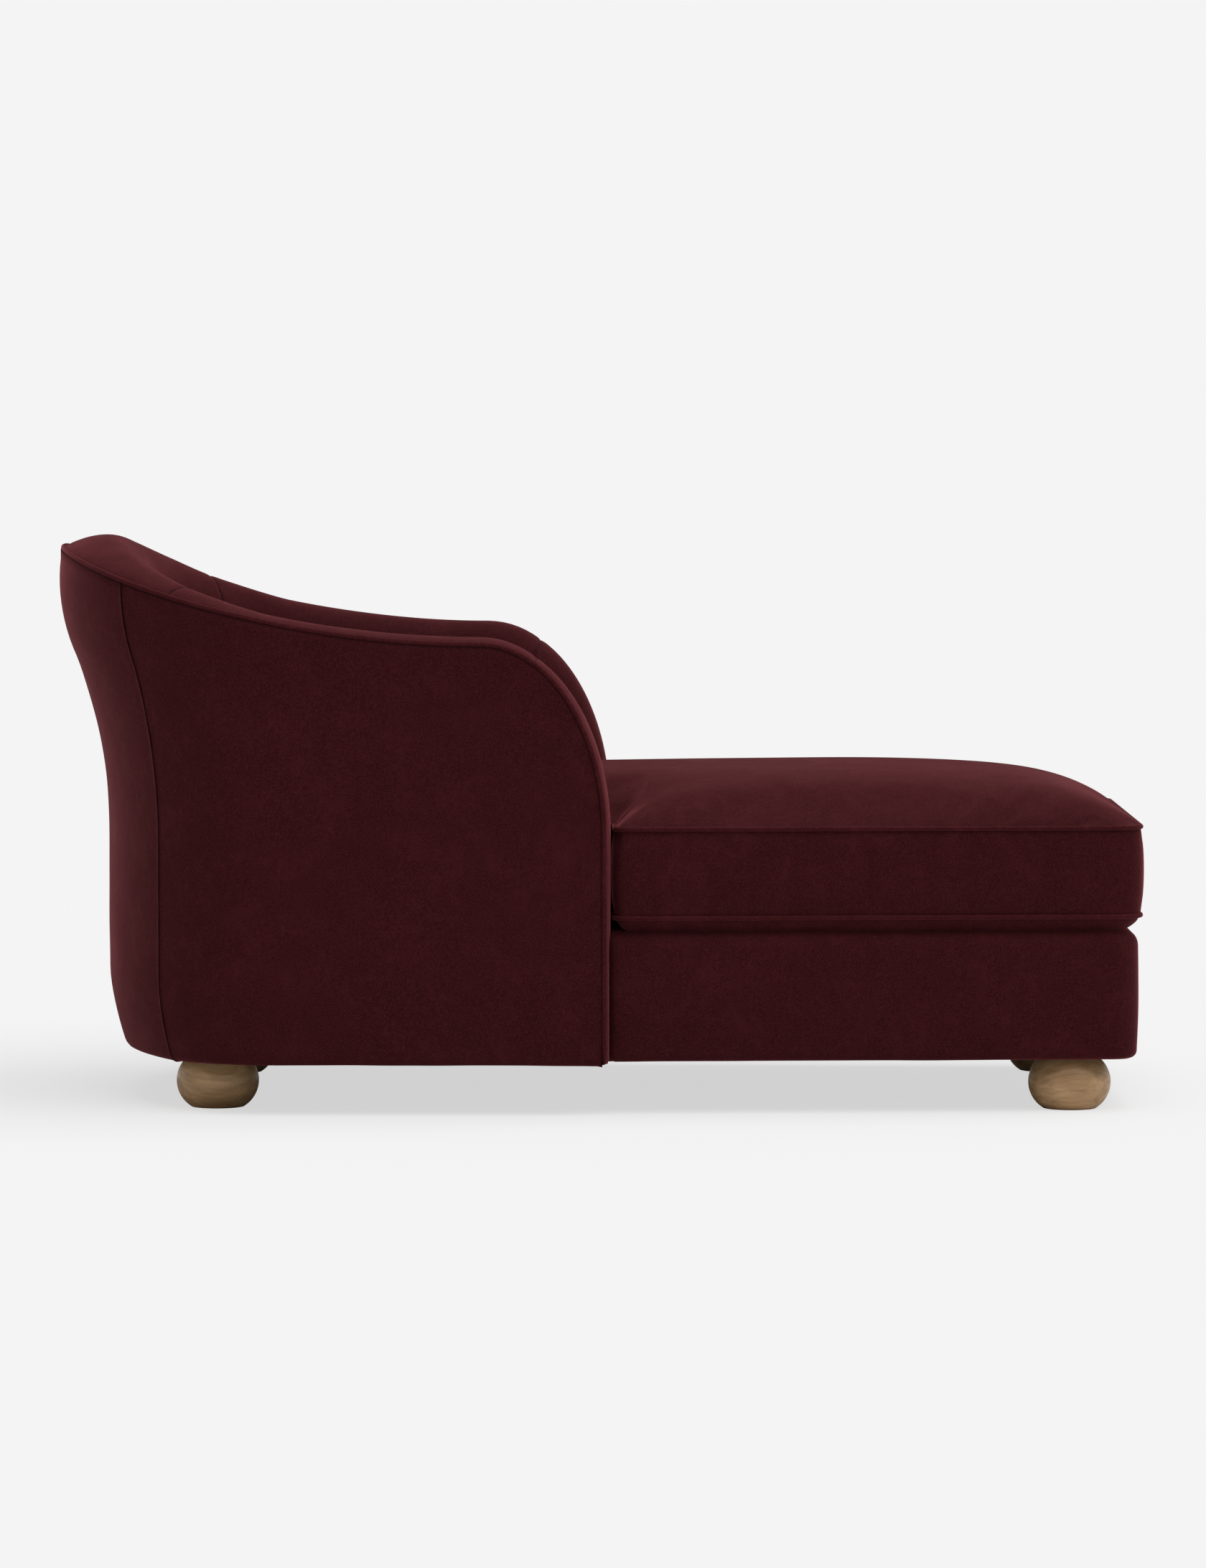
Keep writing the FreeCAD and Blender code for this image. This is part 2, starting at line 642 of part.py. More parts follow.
def corner_block(side):
    """A triangular block glued between the end rail and a seat rail."""
    x_high = size("base_end") - board_inset - size("rail_thickness") - gap
    leg = size("block_leg")
    out = base_reach(x_high) - board_inset - size("rail_thickness") - gap
    back_out = out + (base_reach(x_high - leg) - base_reach(x_high))
    low = board_high + gap
    corners = [Vector(x_high, side * (out - leg), low), Vector(x_high, side * out, low),
               Vector(x_high - leg, side * back_out, low)]
    block = Part.Face(Part.makePolygon(corners + corners[:1])).extrude(Vector(0, 0, rail_top - low))
    return block.cut(foot_holes(size("tee_nut_radius") + gap, low - 1.0, rail_top + 1.0))


feature("corner_blocks", Part.makeCompound([corner_block(1), corner_block(-1)]))

strap = size("strap_thickness")
strap_low = rail_top + gap
deck_foam_low = strap_low + 2.0 * strap + 2.0 * gap
rail_inner_tub = half_width - shell_inner - size("rail_thickness")
round_inner = round_depth - shell_inner


def cross_straps():
    """Straps from rail to rail, spaced along the seat."""
    straps = []
    spacing = size("cross_strap_spacing")
    first = round_start + spacing / 2.0
    x = first
    while x < size("base_end") - board_inset - size("rail_thickness") - size("strap_width"):
        if x < size("board_front") - size("strap_width"):
            reach = rail_inner_tub + size("rail_thickness") / 2.0
        else:
            reach = base_reach(x + size("strap_width")) - board_inset - size("rail_thickness") / 2.0
        straps.append(Part.makeBox(size("strap_width"), 2.0 * reach, strap, Vector(x, -reach, strap_low)))
        x += spacing
    return Part.makeCompound(straps)


def long_straps():
    """Straps along the seat, from the bent back rail to the foot end rail."""
    straps = []
    spacing = size("long_strap_spacing")
    for place_number in (-2, -1, 0, 1, 2):
        y = place_number * spacing
        edge = (abs(y) + size("strap_width") / 2.0) / (half_width - shell_inner)
        rear = round_start - (round_inner - size("rail_thickness") / 2.0) * math.sqrt(1.0 - edge ** 2)
        front = size("base_end") - board_inset - size("rail_thickness") / 2.0
        low = strap_low + strap + gap
        straps.append(Part.makeBox(front - rear, size("strap_width"), strap,
                                   Vector(rear, y - size("strap_width") / 2.0, low)))
    return Part.makeCompound(straps)


feature("cross_webbing", cross_straps())
feature("long_webbing", long_straps())


# The base

def base_solid(inset, low, start, rounded_below=False):
    """The upholstered box with rounded edges, all its outsides moved in by inset."""
    end = size("base_end") - inset
    top = size("base_top") - inset
    near, far = base_reach(start) - inset, base_reach(end) - inset
    corners = [Vector(start, -near, low), Vector(end, -far, low), Vector(end, far, low), Vector(start, near, low)]
    block = Part.Face(Part.makePolygon(corners + corners[:1])).extrude(Vector(0, 0, top - low))
    uprights = [e for e in block.Edges
                if abs(e.BoundBox.XMin - end) < 0.1 and e.BoundBox.ZLength > top - low - 0.1]
    block = block.makeFillet(max(size("base_corner_round") - inset, 2.0), uprights)
    tops = [e for e in block.Edges if e.BoundBox.ZMin > top - 0.1 and e.BoundBox.XMax > start + 0.1]
    block = block.makeFillet(max(size("base_top_round") - inset, 2.0), tops)
    if rounded_below:
        bottoms = [e for e in block.Edges if e.BoundBox.ZMax < low + 0.1 and e.BoundBox.XMax > start + 0.1]
        block = block.makeFillet(max(size("base_bottom_round") - inset, 2.0), bottoms)
    return block


inner_start = size("base_start") - 20.0
padding_inset = cloth + gap
padding_room = base_solid(board_inset - gap, 0.0, inner_start)
base_inner = base_solid(cloth, size("base_bottom") + cloth, inner_start, True)
base_outer = base_solid(0.0, size("base_bottom"), size("base_start"), True)
feature("base_cover", base_outer.cut([base_inner, padding_room]))

padding_outer = base_solid(padding_inset, size("base_bottom") + padding_inset, size("base_start") + gap, True)
deck_level = deck_foam_low - gap
padding_top = Part.makeBox(3000.0, 3000.0, 400.0, Vector(-1500.0, -1500.0, deck_level))
feature("base_padding", padding_outer.cut([padding_room, padding_top]))

foam_high = size("base_top") - cloth - gap
deck_front = base_solid(padding_inset, deck_foam_low, size("base_start") + gap)


def seat_round(inset, low, thickness, front):
    """The seat's plan inside the tub: straight between the arms, round against the back."""
    points = [station.place(station.thickness + inset, low) for station in back_stations(-90.0, 90.0, 33)]
    arcs = [bend(*points[i:i + 3]) for i in range(0, 32, 2)]
    ends = [Vector(front, points[-1].y, low), Vector(front, points[0].y, low)]
    wire = Part.Wire(arcs + [line(points[-1], ends[0]), line(ends[0], ends[1]), line(ends[1], points[0])])
    return Part.Face(wire).extrude(Vector(0, 0, thickness))


foam_tub = seat_round(gap, deck_foam_low, foam_high - deck_foam_low, size("base_start") + gap)
feature("deck_foam", deck_front.fuse(foam_tub))
deck_low = foam_high + gap
feature("deck_cloth", seat_round(gap, deck_low, size("deck_cloth_thickness"), size("base_start") - gap))


# The loose cushion: T-shaped, its outline drawn at several heights and lofted

bottom_welt = size("cushion_bottom_welt_height")
top_welt = size("cushion_top_welt_height")
cushion_low = size("base_top") + gap


def arc_points(centre, radius, start_degrees, end_degrees, height):
    """First, middle and last point of a level arc."""
    points = []
    for degrees in (start_degrees, (start_degrees + end_degrees) / 2.0, end_degrees):
        angle = math.radians(degrees)
        points.append(Vector(centre.x + radius * math.cos(angle), centre.y + radius * math.sin(angle), height))
    return points


def cushion_outline(inset, height):
    """The cushion's plan at a height, moved in by inset: lines joined by tangent arcs."""
    end = size("cushion_end") - inset
    ear = size("cushion_ear_start") + inset
    near = size("base_half_width")
    slope = (near - size("base_half_width_foot")) / (size("cushion_end") - size("cushion_ear_start"))
    taper = math.atan(slope)
    body_half = half_width - arm_thickness - size("cushion_side_gap") - inset
    turn = size("cushion_corner_round") + 0.25 * inset
    ear_turn = size("cushion_ear_round") + 0.15 * inset
    inner_turn = size("cushion_notch_round") + 0.6 * inset
    rear_turn = size("cushion_rear_round") - 0.25 * inset
    rear_start = round_start + size("cushion_rear_shift") + 0.75 * inset

    def side_centre(x, radius):
        line_height = near - slope * (x - size("cushion_ear_start")) - inset / math.cos(taper)
        return Vector(x, line_height - radius / math.cos(taper), 0)

    rear_depth = round_depth - arm_thickness - size("back_extra_thickness") - size("cushion_back_gap")
    rear_depth += size("cushion_rear_shift") - 0.25 * inset
    across = body_half - rear_turn
    rear_radius = (rear_depth ** 2 + across ** 2 - rear_turn ** 2) / (2.0 * (rear_depth - rear_turn))
    rear_centre = Vector(rear_start - rear_depth + rear_radius, 0, 0)
    corner_centre = Vector(rear_start, across, 0)
    lean = math.degrees(math.atan2(across, rear_centre.x - corner_centre.x))
    side_turn = 90.0 - math.degrees(taper)

    rear = arc_points(rear_centre, rear_radius, 180.0, 180.0 - lean, height)
    rear_corner = arc_points(corner_centre, rear_turn, 180.0 - lean, 90.0, height)
    notch = arc_points(Vector(ear - inner_turn, body_half + inner_turn, 0), inner_turn, -90.0, 0.0, height)
    ear_corner = arc_points(side_centre(ear + ear_turn, ear_turn), ear_turn, 180.0, side_turn, height)
    foot_corner = arc_points(side_centre(end - turn, turn), turn, side_turn, 0.0, height)
    turns = [rear, rear_corner, notch, ear_corner, foot_corner]
    edges = [Part.Arc(*rear).toShape()]
    for before, after in zip(turns, turns[1:]):
        if before[2].distanceToPoint(after[0]) > 0.001:
            edges.append(line(before[2], after[0]))
        edges.append(Part.Arc(*after).toShape())
    edges.append(line(foot_corner[2], Vector(foot_corner[2].x, -foot_corner[2].y, height)))
    turns = [[Vector(p.x, -p.y, height) for p in reversed(points)] for points in reversed(turns)]
    edges.append(Part.Arc(*turns[0]).toShape())
    for before, after in zip(turns, turns[1:]):
        if before[2].distanceToPoint(after[0]) > 0.001:
            edges.append(line(before[2], after[0]))
        edges.append(Part.Arc(*after).toShape())
    return Part.Wire(edges)


def crown_inset(rise):
    """How far in from the welt the crown has risen by rise."""
    share = min(rise / size("cushion_crown"), 1.0)
    return size("cushion_crown_reach") * (1.0 - (1.0 - share) ** (1.0 / size("cushion_crown_power")))


crown_shares = (0.0, 0.25, 0.5, 0.7, 0.85, 0.95)


def boxing_form(inset):
    """The side band between the welts, with its slight belly, moved in by inset."""
    middle = (bottom_welt + top_welt) / 2.0
    belly = size("cushion_belly")
    wires = [cushion_outline(inset + belly, bottom_welt), cushion_outline(inset, middle),
             cushion_outline(inset + belly, top_welt)]
    return loft(wires)


def underside_form(inset):
    """The underside, pulled in from the bottom welt to where it rests."""
    pull = size("cushion_underside_pull")
    wires = [cushion_outline(inset + size("cushion_belly"), bottom_welt),
             cushion_outline(inset + size("cushion_belly") + 0.3 * pull, (bottom_welt + cushion_low + inset) / 2.0),
             cushion_outline(inset + size("cushion_belly") + pull, cushion_low + inset)]
    return loft(wires)


def slab(low, high):
    return Part.makeBox(3000.0, 3000.0, high - low, Vector(-1500.0, -1500.0, low))


def crown_shape(inset):
    """The crown as a scaled stack: inset also lowers it."""
    belly = size("cushion_belly")
    wires = []
    for share in crown_shares:
        rise = share * (size("cushion_crown") - inset)
        wires.append(cushion_outline(inset + belly + crown_inset(share * size("cushion_crown")), top_welt + rise))
    return loft(wires)


cushion_cloth = size("cushion_cloth")
seam_half = gap / 2.0
top_outer = crown_shape(0.0)
top_inner = crown_shape(cushion_cloth)
top_shell = top_outer.cut(top_inner)
feature("cushion_top_panel", top_shell)
boxing_outer = boxing_form(0.0).common(slab(bottom_welt + seam_half, top_welt - seam_half))
boxing_inner = boxing_form(cushion_cloth)
feature("cushion_boxing", boxing_outer.cut(boxing_inner))
under_outer = underside_form(0.0).common(slab(0.0, bottom_welt - seam_half))
under_inner = underside_form(cushion_cloth)
feature("cushion_bottom_panel", under_outer.cut(under_inner))

fill_inset = cushion_cloth + size("cushion_fill_clearance")
fill_top = crown_shape(fill_inset)
fill_side = boxing_form(fill_inset)
fill_under = underside_form(fill_inset)
filling = fill_top.fuse([fill_side, fill_under])
core_inset = fill_inset + size("cushion_wrap")
core_low = cushion_low + core_inset
core = loft([cushion_outline(core_inset + size("cushion_belly"), core_low),
             cushion_outline(core_inset + size("cushion_belly"), top_welt)], True)
core_room = loft([cushion_outline(core_inset + size("cushion_belly") - gap, core_low - gap),
                  cushion_outline(core_inset + size("cushion_belly") - gap, top_welt + gap)], True)
trimmed = sorted(filling.cut([core_room, top_shell]).Solids, key=lambda solid: solid.Volume)
feature("cushion_filling", trimmed[-1])
feature("cushion_core", core)


def welt_loop(height):
    """The welt round the cushion's edge at a height."""
    radius = size("cushion_welt_radius")
    path = cushion_outline(size("cushion_belly") - radius - gap, height)
    start = path.Edges[0].valueAt(path.Edges[0].FirstParameter)
    profile = Part.Wire(Part.Circle(start, Vector(0, 1, 0), radius).toShape())
    return path.makePipeShell([profile], True, False)


feature("cushion_top_welt", welt_loop(top_welt))
feature("cushion_bottom_welt", welt_loop(bottom_welt))


# The zip along the rear boxing: tape and slider follow one arc about an upright axis

zip_middle = (bottom_welt + top_welt) / 2.0
boxing_rear = cushion_outline(0.0, zip_middle).Edges[0].Curve
zip_radius = boxing_rear.Radius + gap
zip_axis = boxing_rear.Center


def arc_strip(inner, outer, low, high, first, last):
    """A strip bent round the zip's axis, between two angles from the rear."""
    sweep = last - first
    tall = Part.makeCylinder(outer, high - low, Vector(zip_axis.x, 0, low), Vector(0, 0, 1), sweep)
    hollow = Part.makeCylinder(inner, high - low, Vector(zip_axis.x, 0, low), Vector(0, 0, 1), sweep)
    strip = tall.cut(hollow)
    strip.rotate(Vector(zip_axis.x, 0, 0), Vector(0, 0, 1), 180.0 + first)
    return strip


zip_span = size("zip_half_angle")
feature("zip_tape", arc_strip(zip_radius, zip_radius + 1.0, zip_middle - size("zip_width") / 2.0,
                              zip_middle + size("zip_width") / 2.0, -zip_span, zip_span))
slider_span = math.degrees(size("slider_length") / zip_radius)
slider_start = -size("slider_travel_angle") / 2.0
feature("zip_slider", arc_strip(zip_radius + 1.0 + gap, zip_radius + 1.0 + gap + size("slider_depth"),
                                zip_middle - size("slider_width") / 2.0, zip_middle + size("slider_width") / 2.0,
                                slider_start - slider_span / 2.0, slider_start + slider_span / 2.0))


# Feet: turned oak, each with a bolt pilot above and a glide let in below

def foot(label, along, spread):
    body = new_body(label)
    sketch = new_sketch(body, body.Name + "Profile", "XZ_Plane")
    flat, high, middle = size("foot_flat_radius"), size("foot_height"), size("foot_height") / 2.0
    glide, bolt, pilot = size("glide_radius") + gap, size("bolt_radius") + gap, high - size("bolt_in_foot") - 1.0
    sunk = size("glide_thickness") + gap
    flat_text, high_text = "Sizes.foot_flat_radius", "Sizes.foot_height"
    glide_text, bolt_text = "Sizes.glide_radius + Sizes.fit_gap", "Sizes.bolt_radius + Sizes.fit_gap"
    pilot_text, sunk_text = "Sizes.foot_height - Sizes.bolt_in_foot - 1", "Sizes.glide_thickness + Sizes.fit_gap"
    corners = [(0, sunk), (glide, sunk), (glide, 0), (flat, 0), (flat, high), (bolt, high), (bolt, pilot), (0, pilot)]
    texts = [(None, sunk_text), (glide_text, sunk_text), (glide_text, None), (flat_text, None),
             (flat_text, high_text), (bolt_text, high_text), (bolt_text, pilot_text), (None, pilot_text)]
    for i, corner in enumerate(corners):
        following = corners[(i + 1) % len(corners)]
        if i == 3:
            bulge = Part.Arc(Vector(flat, 0, 0), Vector(size("foot_radius"), middle, 0), Vector(flat, high, 0))
            sketch.addGeometry(bulge, False)
        else:
            sketch.addGeometry(Part.LineSegment(Vector(*corner, 0), Vector(*following, 0)), False)
    arc_turns_forward = sketch.Geometry[3].StartPoint.distanceToPoint(Vector(flat, 0, 0)) < 1.0
    arc_ends = (1, 2) if arc_turns_forward else (2, 1)
    for i in range(len(corners)):
        last = (i + 1) % len(corners)
        from_end = arc_ends[1] if i == 3 else 2
        to_end = arc_ends[0] if last == 3 else 1
        sketch.addConstraint(Sketcher.Constraint("Coincident", i, from_end, last, to_end))
    for i, (radius_text, height_text) in enumerate(texts):
        bind_point(sketch, i, arc_ends[0] if i == 3 else 1, radius_text, height_text)
    rise_text = "(Sizes.foot_radius - Sizes.foot_flat_radius)"
    bulge_radius = "((Sizes.foot_height / 2)^2 + %s^2) / (2 * %s)" % (rise_text, rise_text)
    centre_index = sketch.addConstraint(Sketcher.Constraint("DistanceX", -1, 1, 3, 3, sketch.Geometry[3].Center.x))
    sketch.setExpression("Constraints[%d]" % centre_index, "Sizes.foot_radius - " + bulge_radius)
    turned = body.newObject("PartDesign::Revolution", body.Name + "Turned")
    turned.Profile = sketch
    turned.ReferenceAxis = (sketch, ["V_Axis"])
    turned.Angle = 360.0
    place(body, along, spread, "0")
    return body


foot("foot_front_left", "Sizes.foot_front_place", "Sizes.foot_front_spread")
foot("foot_front_right", "Sizes.foot_front_place", "-1 * Sizes.foot_front_spread")
foot("foot_rear_left", "Sizes.foot_rear_place", "Sizes.foot_rear_spread")
foot("foot_rear_right", "Sizes.foot_rear_place", "-1 * Sizes.foot_rear_spread")

nut_top = board_high + size("tee_nut_flange") + gap


def at_feet(shape):
    copies = []
    for x, y in foot_places.values():
        copy = shape.copy()
        copy.translate(Vector(x, y, 0))
        copies.append(copy)
    return Part.makeCompound(copies)


bolt_low = size("foot_height") - size("bolt_in_foot")
bolt = Part.makeCylinder(size("bolt_radius"), nut_top - bolt_low + 6.0, Vector(0, 0, bolt_low))
bolt_tip = Part.makeCone(0.8, size("bolt_radius"), 5.0, Vector(0, 0, bolt_low))
bolt = bolt.cut(Part.makeCylinder(size("bolt_radius") + 1.0, 5.0, Vector(0, 0, bolt_low))).fuse(bolt_tip)
feature("foot_bolts", at_feet(bolt))

barrel = Part.makeCylinder(size("tee_nut_barrel_radius"), board_high + gap - board_low, Vector(0, 0, board_low))
flange = Part.makeCylinder(size("tee_nut_radius"), size("tee_nut_flange"), Vector(0, 0, board_high + gap))
nut_bore = Part.makeCylinder(size("bolt_radius") + gap / 2.0, 200.0, Vector(0, 0, 0))
feature("tee_nuts", at_feet(barrel.fuse(flange).cut(nut_bore)))

glide = Part.makeCylinder(size("glide_radius"), size("glide_thickness"))
feature("foot_glides", at_feet(glide))

doc.recompute()

failed = [item.Name for item in doc.Objects if "Invalid" in item.State or "Error" in item.State]
if failed:
    raise RuntimeError("failed objects: " + ", ".join(failed))

pieces = [item for item in doc.Objects if item.TypeId in ("Part::Feature", "PartDesign::Body")]
whole = FreeCAD.BoundBox()
for piece in pieces:
    if piece.Shape.isNull() or not piece.Shape.isValid():
        raise RuntimeError("bad shape: " + piece.Label)
    whole.add(piece.Shape.BoundBox)
    print(piece.Label, len(piece.Shape.Solids), round(piece.Shape.Volume / 1000.0, 1))
    piece.Shape.exportStep("parts/%s.step" % piece.Label)
print("box", [round(v, 2) for v in (whole.XMin, whole.XMax, whole.YMin, whole.YMax, whole.ZMin, whole.ZMax)])
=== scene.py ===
import json
import math

import bmesh
import bpy
import numpy as np
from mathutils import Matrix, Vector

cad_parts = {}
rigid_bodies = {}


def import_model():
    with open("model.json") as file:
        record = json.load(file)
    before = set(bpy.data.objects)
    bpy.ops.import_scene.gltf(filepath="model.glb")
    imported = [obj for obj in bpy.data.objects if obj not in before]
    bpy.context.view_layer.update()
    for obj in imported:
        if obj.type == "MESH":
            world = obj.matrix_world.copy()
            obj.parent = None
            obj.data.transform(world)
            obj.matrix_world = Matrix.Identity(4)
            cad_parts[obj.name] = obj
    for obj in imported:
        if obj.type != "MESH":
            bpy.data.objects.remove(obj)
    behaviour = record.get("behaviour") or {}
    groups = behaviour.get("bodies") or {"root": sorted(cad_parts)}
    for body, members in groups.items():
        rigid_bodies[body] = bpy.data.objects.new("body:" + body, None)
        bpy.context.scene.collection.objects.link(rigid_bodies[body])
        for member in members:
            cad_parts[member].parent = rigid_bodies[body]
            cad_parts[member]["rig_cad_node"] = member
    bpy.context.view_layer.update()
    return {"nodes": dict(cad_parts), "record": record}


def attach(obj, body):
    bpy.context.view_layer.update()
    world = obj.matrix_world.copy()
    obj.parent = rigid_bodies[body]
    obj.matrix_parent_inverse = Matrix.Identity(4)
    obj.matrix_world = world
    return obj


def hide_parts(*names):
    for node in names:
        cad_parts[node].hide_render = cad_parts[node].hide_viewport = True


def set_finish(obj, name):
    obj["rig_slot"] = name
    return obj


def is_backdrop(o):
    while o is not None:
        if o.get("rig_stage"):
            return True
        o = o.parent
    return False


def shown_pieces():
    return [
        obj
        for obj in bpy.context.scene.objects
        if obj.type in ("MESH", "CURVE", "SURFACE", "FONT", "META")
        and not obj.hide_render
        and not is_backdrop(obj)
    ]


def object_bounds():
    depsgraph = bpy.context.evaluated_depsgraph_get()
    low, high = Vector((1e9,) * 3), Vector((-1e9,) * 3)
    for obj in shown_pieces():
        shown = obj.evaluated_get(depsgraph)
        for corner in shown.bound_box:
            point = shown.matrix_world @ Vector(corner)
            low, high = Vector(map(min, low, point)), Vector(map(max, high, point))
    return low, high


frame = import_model()
print("frame loaded:", len(frame["nodes"]), "CAD nodes")

scene = bpy.context.scene
scene.view_settings.view_transform = "Standard"
nodes = frame["nodes"]
sides = {"left": 1, "right": -1}


# Meshes from numpy grids

noSeam = 0.2


def meshObject(name, vertices, faces, uv, seam=None, welded=0.0, turned=False):
    # welded merges vertices that are closer than this; turned makes every face point outwards
    mesh = bpy.data.meshes.new(name)
    faceList = faces if isinstance(faces, list) else faces.tolist()
    mesh.from_pydata(np.asarray(vertices, float).tolist(), [], faceList)
    loops = np.zeros(len(mesh.loops), np.int32)
    mesh.loops.foreach_get("vertex_index", loops)
    layer = mesh.uv_layers.new(name="clothUV")
    layer.data.foreach_set("uv", np.asarray(uv, np.float32)[loops].ravel())
    seamValues = np.asarray(np.full(len(vertices), noSeam) if seam is None else seam, np.float32)
    # seamDistance also places the painted shade beside seams in the velvet material
    attribute = mesh.attributes.new("seamDistance", "FLOAT", "POINT")
    attribute.data.foreach_set("value", seamValues)
    mesh.polygons.foreach_set("use_smooth", np.ones(len(mesh.polygons), bool))
    made = bpy.data.objects.new(name, mesh)
    scene.collection.objects.link(made)
    if welded > 0 or turned:
        work = bmesh.new()
        work.from_mesh(mesh)
        if welded > 0:
            bmesh.ops.remove_doubles(work, verts=work.verts, dist=welded)
        if turned:
            bmesh.ops.recalc_face_normals(work, faces=work.faces)
        work.to_mesh(mesh)
        work.free()
    mesh.update()
    return made


def clothThickness(made, thickness):
    # the cloth's thickness lies inside its drawn face
    shell = made.modifiers.new("clothThickness", "SOLIDIFY")
    shell.thickness = thickness
    shell.offset = -1


def placePiece(made, body, slotName, *replaced):
    # the body that the piece rides on, its material slot, and the CAD nodes that it stands for
    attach(made, body)
    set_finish(made, slotName)
    if replaced:
        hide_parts(*replaced)


def gridFaces(rows, columns, closedRows=False, closedColumns=False, flip=False, start=0):
    # one quad for each cell of a rows by columns grid, its indices found as whole arrays
    index = np.arange(rows * columns).reshape(rows, columns) + start
    if closedRows:
        index = np.vstack([index, index[:1]])
    if closedColumns:
        index = np.hstack([index, index[:, :1]])
    a, b, c, d = index[:-1, :-1], index[1:, :-1], index[1:, 1:], index[:-1, 1:]
    quads = np.stack([a, d, c, b] if flip else [a, b, c, d], axis=-1)
    return quads.reshape(-1, 4)


def gridNormals(points):
    # normal = cross product of the steps along the two grid directions, scaled to length 1
    along = np.gradient(points, axis=0)
    across = np.gradient(points, axis=1)
    normal = np.cross(along, across)
    return normal / np.maximum(np.linalg.norm(normal, axis=-1, keepdims=True), 1e-12)


def arcLengths(points, axis):
    steps = np.linalg.norm(np.diff(points, axis=axis), axis=-1)
    first = np.zeros_like(np.take(steps, [0], axis=axis))
    return np.concatenate([first, np.cumsum(steps, axis=axis)], axis=axis)


def clothUV(points):
    return np.stack([arcLengths(points, 0), arcLengths(points, 1)], axis=-1).reshape(-1, 2)


def curveLengths(points):
    return np.concatenate([[0], np.cumsum(np.linalg.norm(np.diff(points, axis=0), axis=1))])


def alongCurve(places, lengths, values):
    # rows of values at given distances along a curve
    return np.stack([np.interp(places, lengths, values[:, i]) for i in range(values.shape[1])], axis=1)


besideSeam = np.array([0.0, 0.0007, 0.0022, 0.0042, 0.0070, 0.011, 0.016])


def seamSteps(length, spacing, startSeam, endSeam):
    # places along a panel: close together beside a seam, then evenly spaced
    low = besideSeam if startSeam else besideSeam[:1]
    high = length - (besideSeam[::-1] if endSeam else besideSeam[:1])
    count = max(int((high[0] - low[-1]) / spacing), 2)
    middle = np.linspace(low[-1], high[0], count + 1)[1:-1]
    return np.concatenate([low, middle, high])


def softWaves(points, seed, scales=((0.31, 1.0), (0.17, 0.6), (0.09, 0.35))):
    # sums of sine waves with fixed random directions and phases, about -1 to 1
    pick = np.random.default_rng(seed)
    total = np.zeros(points.shape[:-1])
    for length, weight in scales:
        for turn in range(4):
            direction = pick.normal(size=3)
            direction /= np.linalg.norm(direction)
            total += weight * np.sin(2 * np.pi * (points @ direction) / length + pick.uniform(0, 2 * np.pi))
    return total / 4.0


# The tub's wall, as the CAD draws it: each row of a path is one upright cut

tub = {"halfWidth": 0.426, "roundStart": -0.511, "roundDepth": 0.262, "bottom": 0.078, "roundHeight": 0.200,
       "tuck": 0.027, "flareStart": 0.420, "flareKnee": 0.690, "flarePeakHeight": 0.810, "flareAtKnee": 0.049,
       "flarePeak": 0.077, "rimRearHeight": 0.866, "rimRearReach": 0.329, "shoulderHeight": 0.725,
       "shoulderStart": -0.178, "shoulderDepth": 0.295, "armFront": 0.014, "armThickness": 0.110,
       "backExtra": 0.030, "crownReach": 0.050, "crownExtraReach": 0.012, "crownHeight": 0.009,
       "crownExtraHeight": 0.008, "outsideSeam": 52.0, "insideSeam": 66.0, "frontSeam": 64.0,
       "weltRoom": 0.0030, "paddingBottom": 0.2266}
shoulderReach = tub["armFront"] - tub["shoulderStart"]
shoulderBase = tub["shoulderHeight"] - tub["shoulderDepth"]


def flareAt(z):
    # out-lean of the back: a parabola up to the knee, another to the peak, a power curve tucking in below
    depth = (tub["roundHeight"] - z) / (tub["roundHeight"] - tub["bottom"])
    below = -tub["tuck"] * np.clip(depth, 0, None) ** 1.6
    middle = tub["flareAtKnee"] * ((z - tub["flareStart"]) / (tub["flareKnee"] - tub["flareStart"])) ** 2
    share = (tub["flarePeakHeight"] - z) / (tub["flarePeakHeight"] - tub["flareKnee"])
    above = tub["flarePeak"] - (tub["flarePeak"] - tub["flareAtKnee"]) * share ** 2
    return np.where(z <= tub["roundHeight"], below,
                    np.where(z <= tub["flareStart"], 0.0, np.where(z <= tub["flareKnee"], middle, above)))


def rimAt(x):
    # rim height: level at the shoulder, rising as a parabola towards the back
    rear = tub["roundStart"] - tub["rimRearReach"]
    share = np.clip((tub["shoulderStart"] - x) / (tub["shoulderStart"] - rear), 0, None)
    return tub["shoulderHeight"] + (tub["rimRearHeight"] - tub["shoulderHeight"]) * share ** 2


def pathRows(x0, cosine, weight, across, upX, upZ, z0):
    rows = np.stack(np.broadcast_arrays(x0, cosine, weight, across, upX, upZ, z0), axis=-1).astype(float)
    thick = tub["armThickness"] + tub["backExtra"] * rows[:, 2]
    reach = tub["crownReach"] + tub["crownExtraReach"] * rows[:, 2]
    crown = tub["crownHeight"] + tub["crownExtraHeight"] * rows[:, 2]
    return np.column_stack([rows, thick, reach, crown])


def backPath(degrees):
    # an ellipse in plan: x = start - depth cos t, y = half width sin t, its rim on the rim parabola
    angle = np.radians(degrees)
    cosine = np.cos(angle)
    weight = cosine * (3 - cosine) / 2
    extra = (tub["rimRearReach"] - tub["roundDepth"]) * weight
    rim = rimAt(tub["roundStart"] - tub["roundDepth"] * cosine - extra)
    return pathRows(tub["roundStart"] - tub["roundDepth"] * cosine, cosine, weight, np.sin(angle), 0, 1, rim)


def armPath(x, side):
    return pathRows(x, 0, 0, side, 0, 1, rimAt(x))


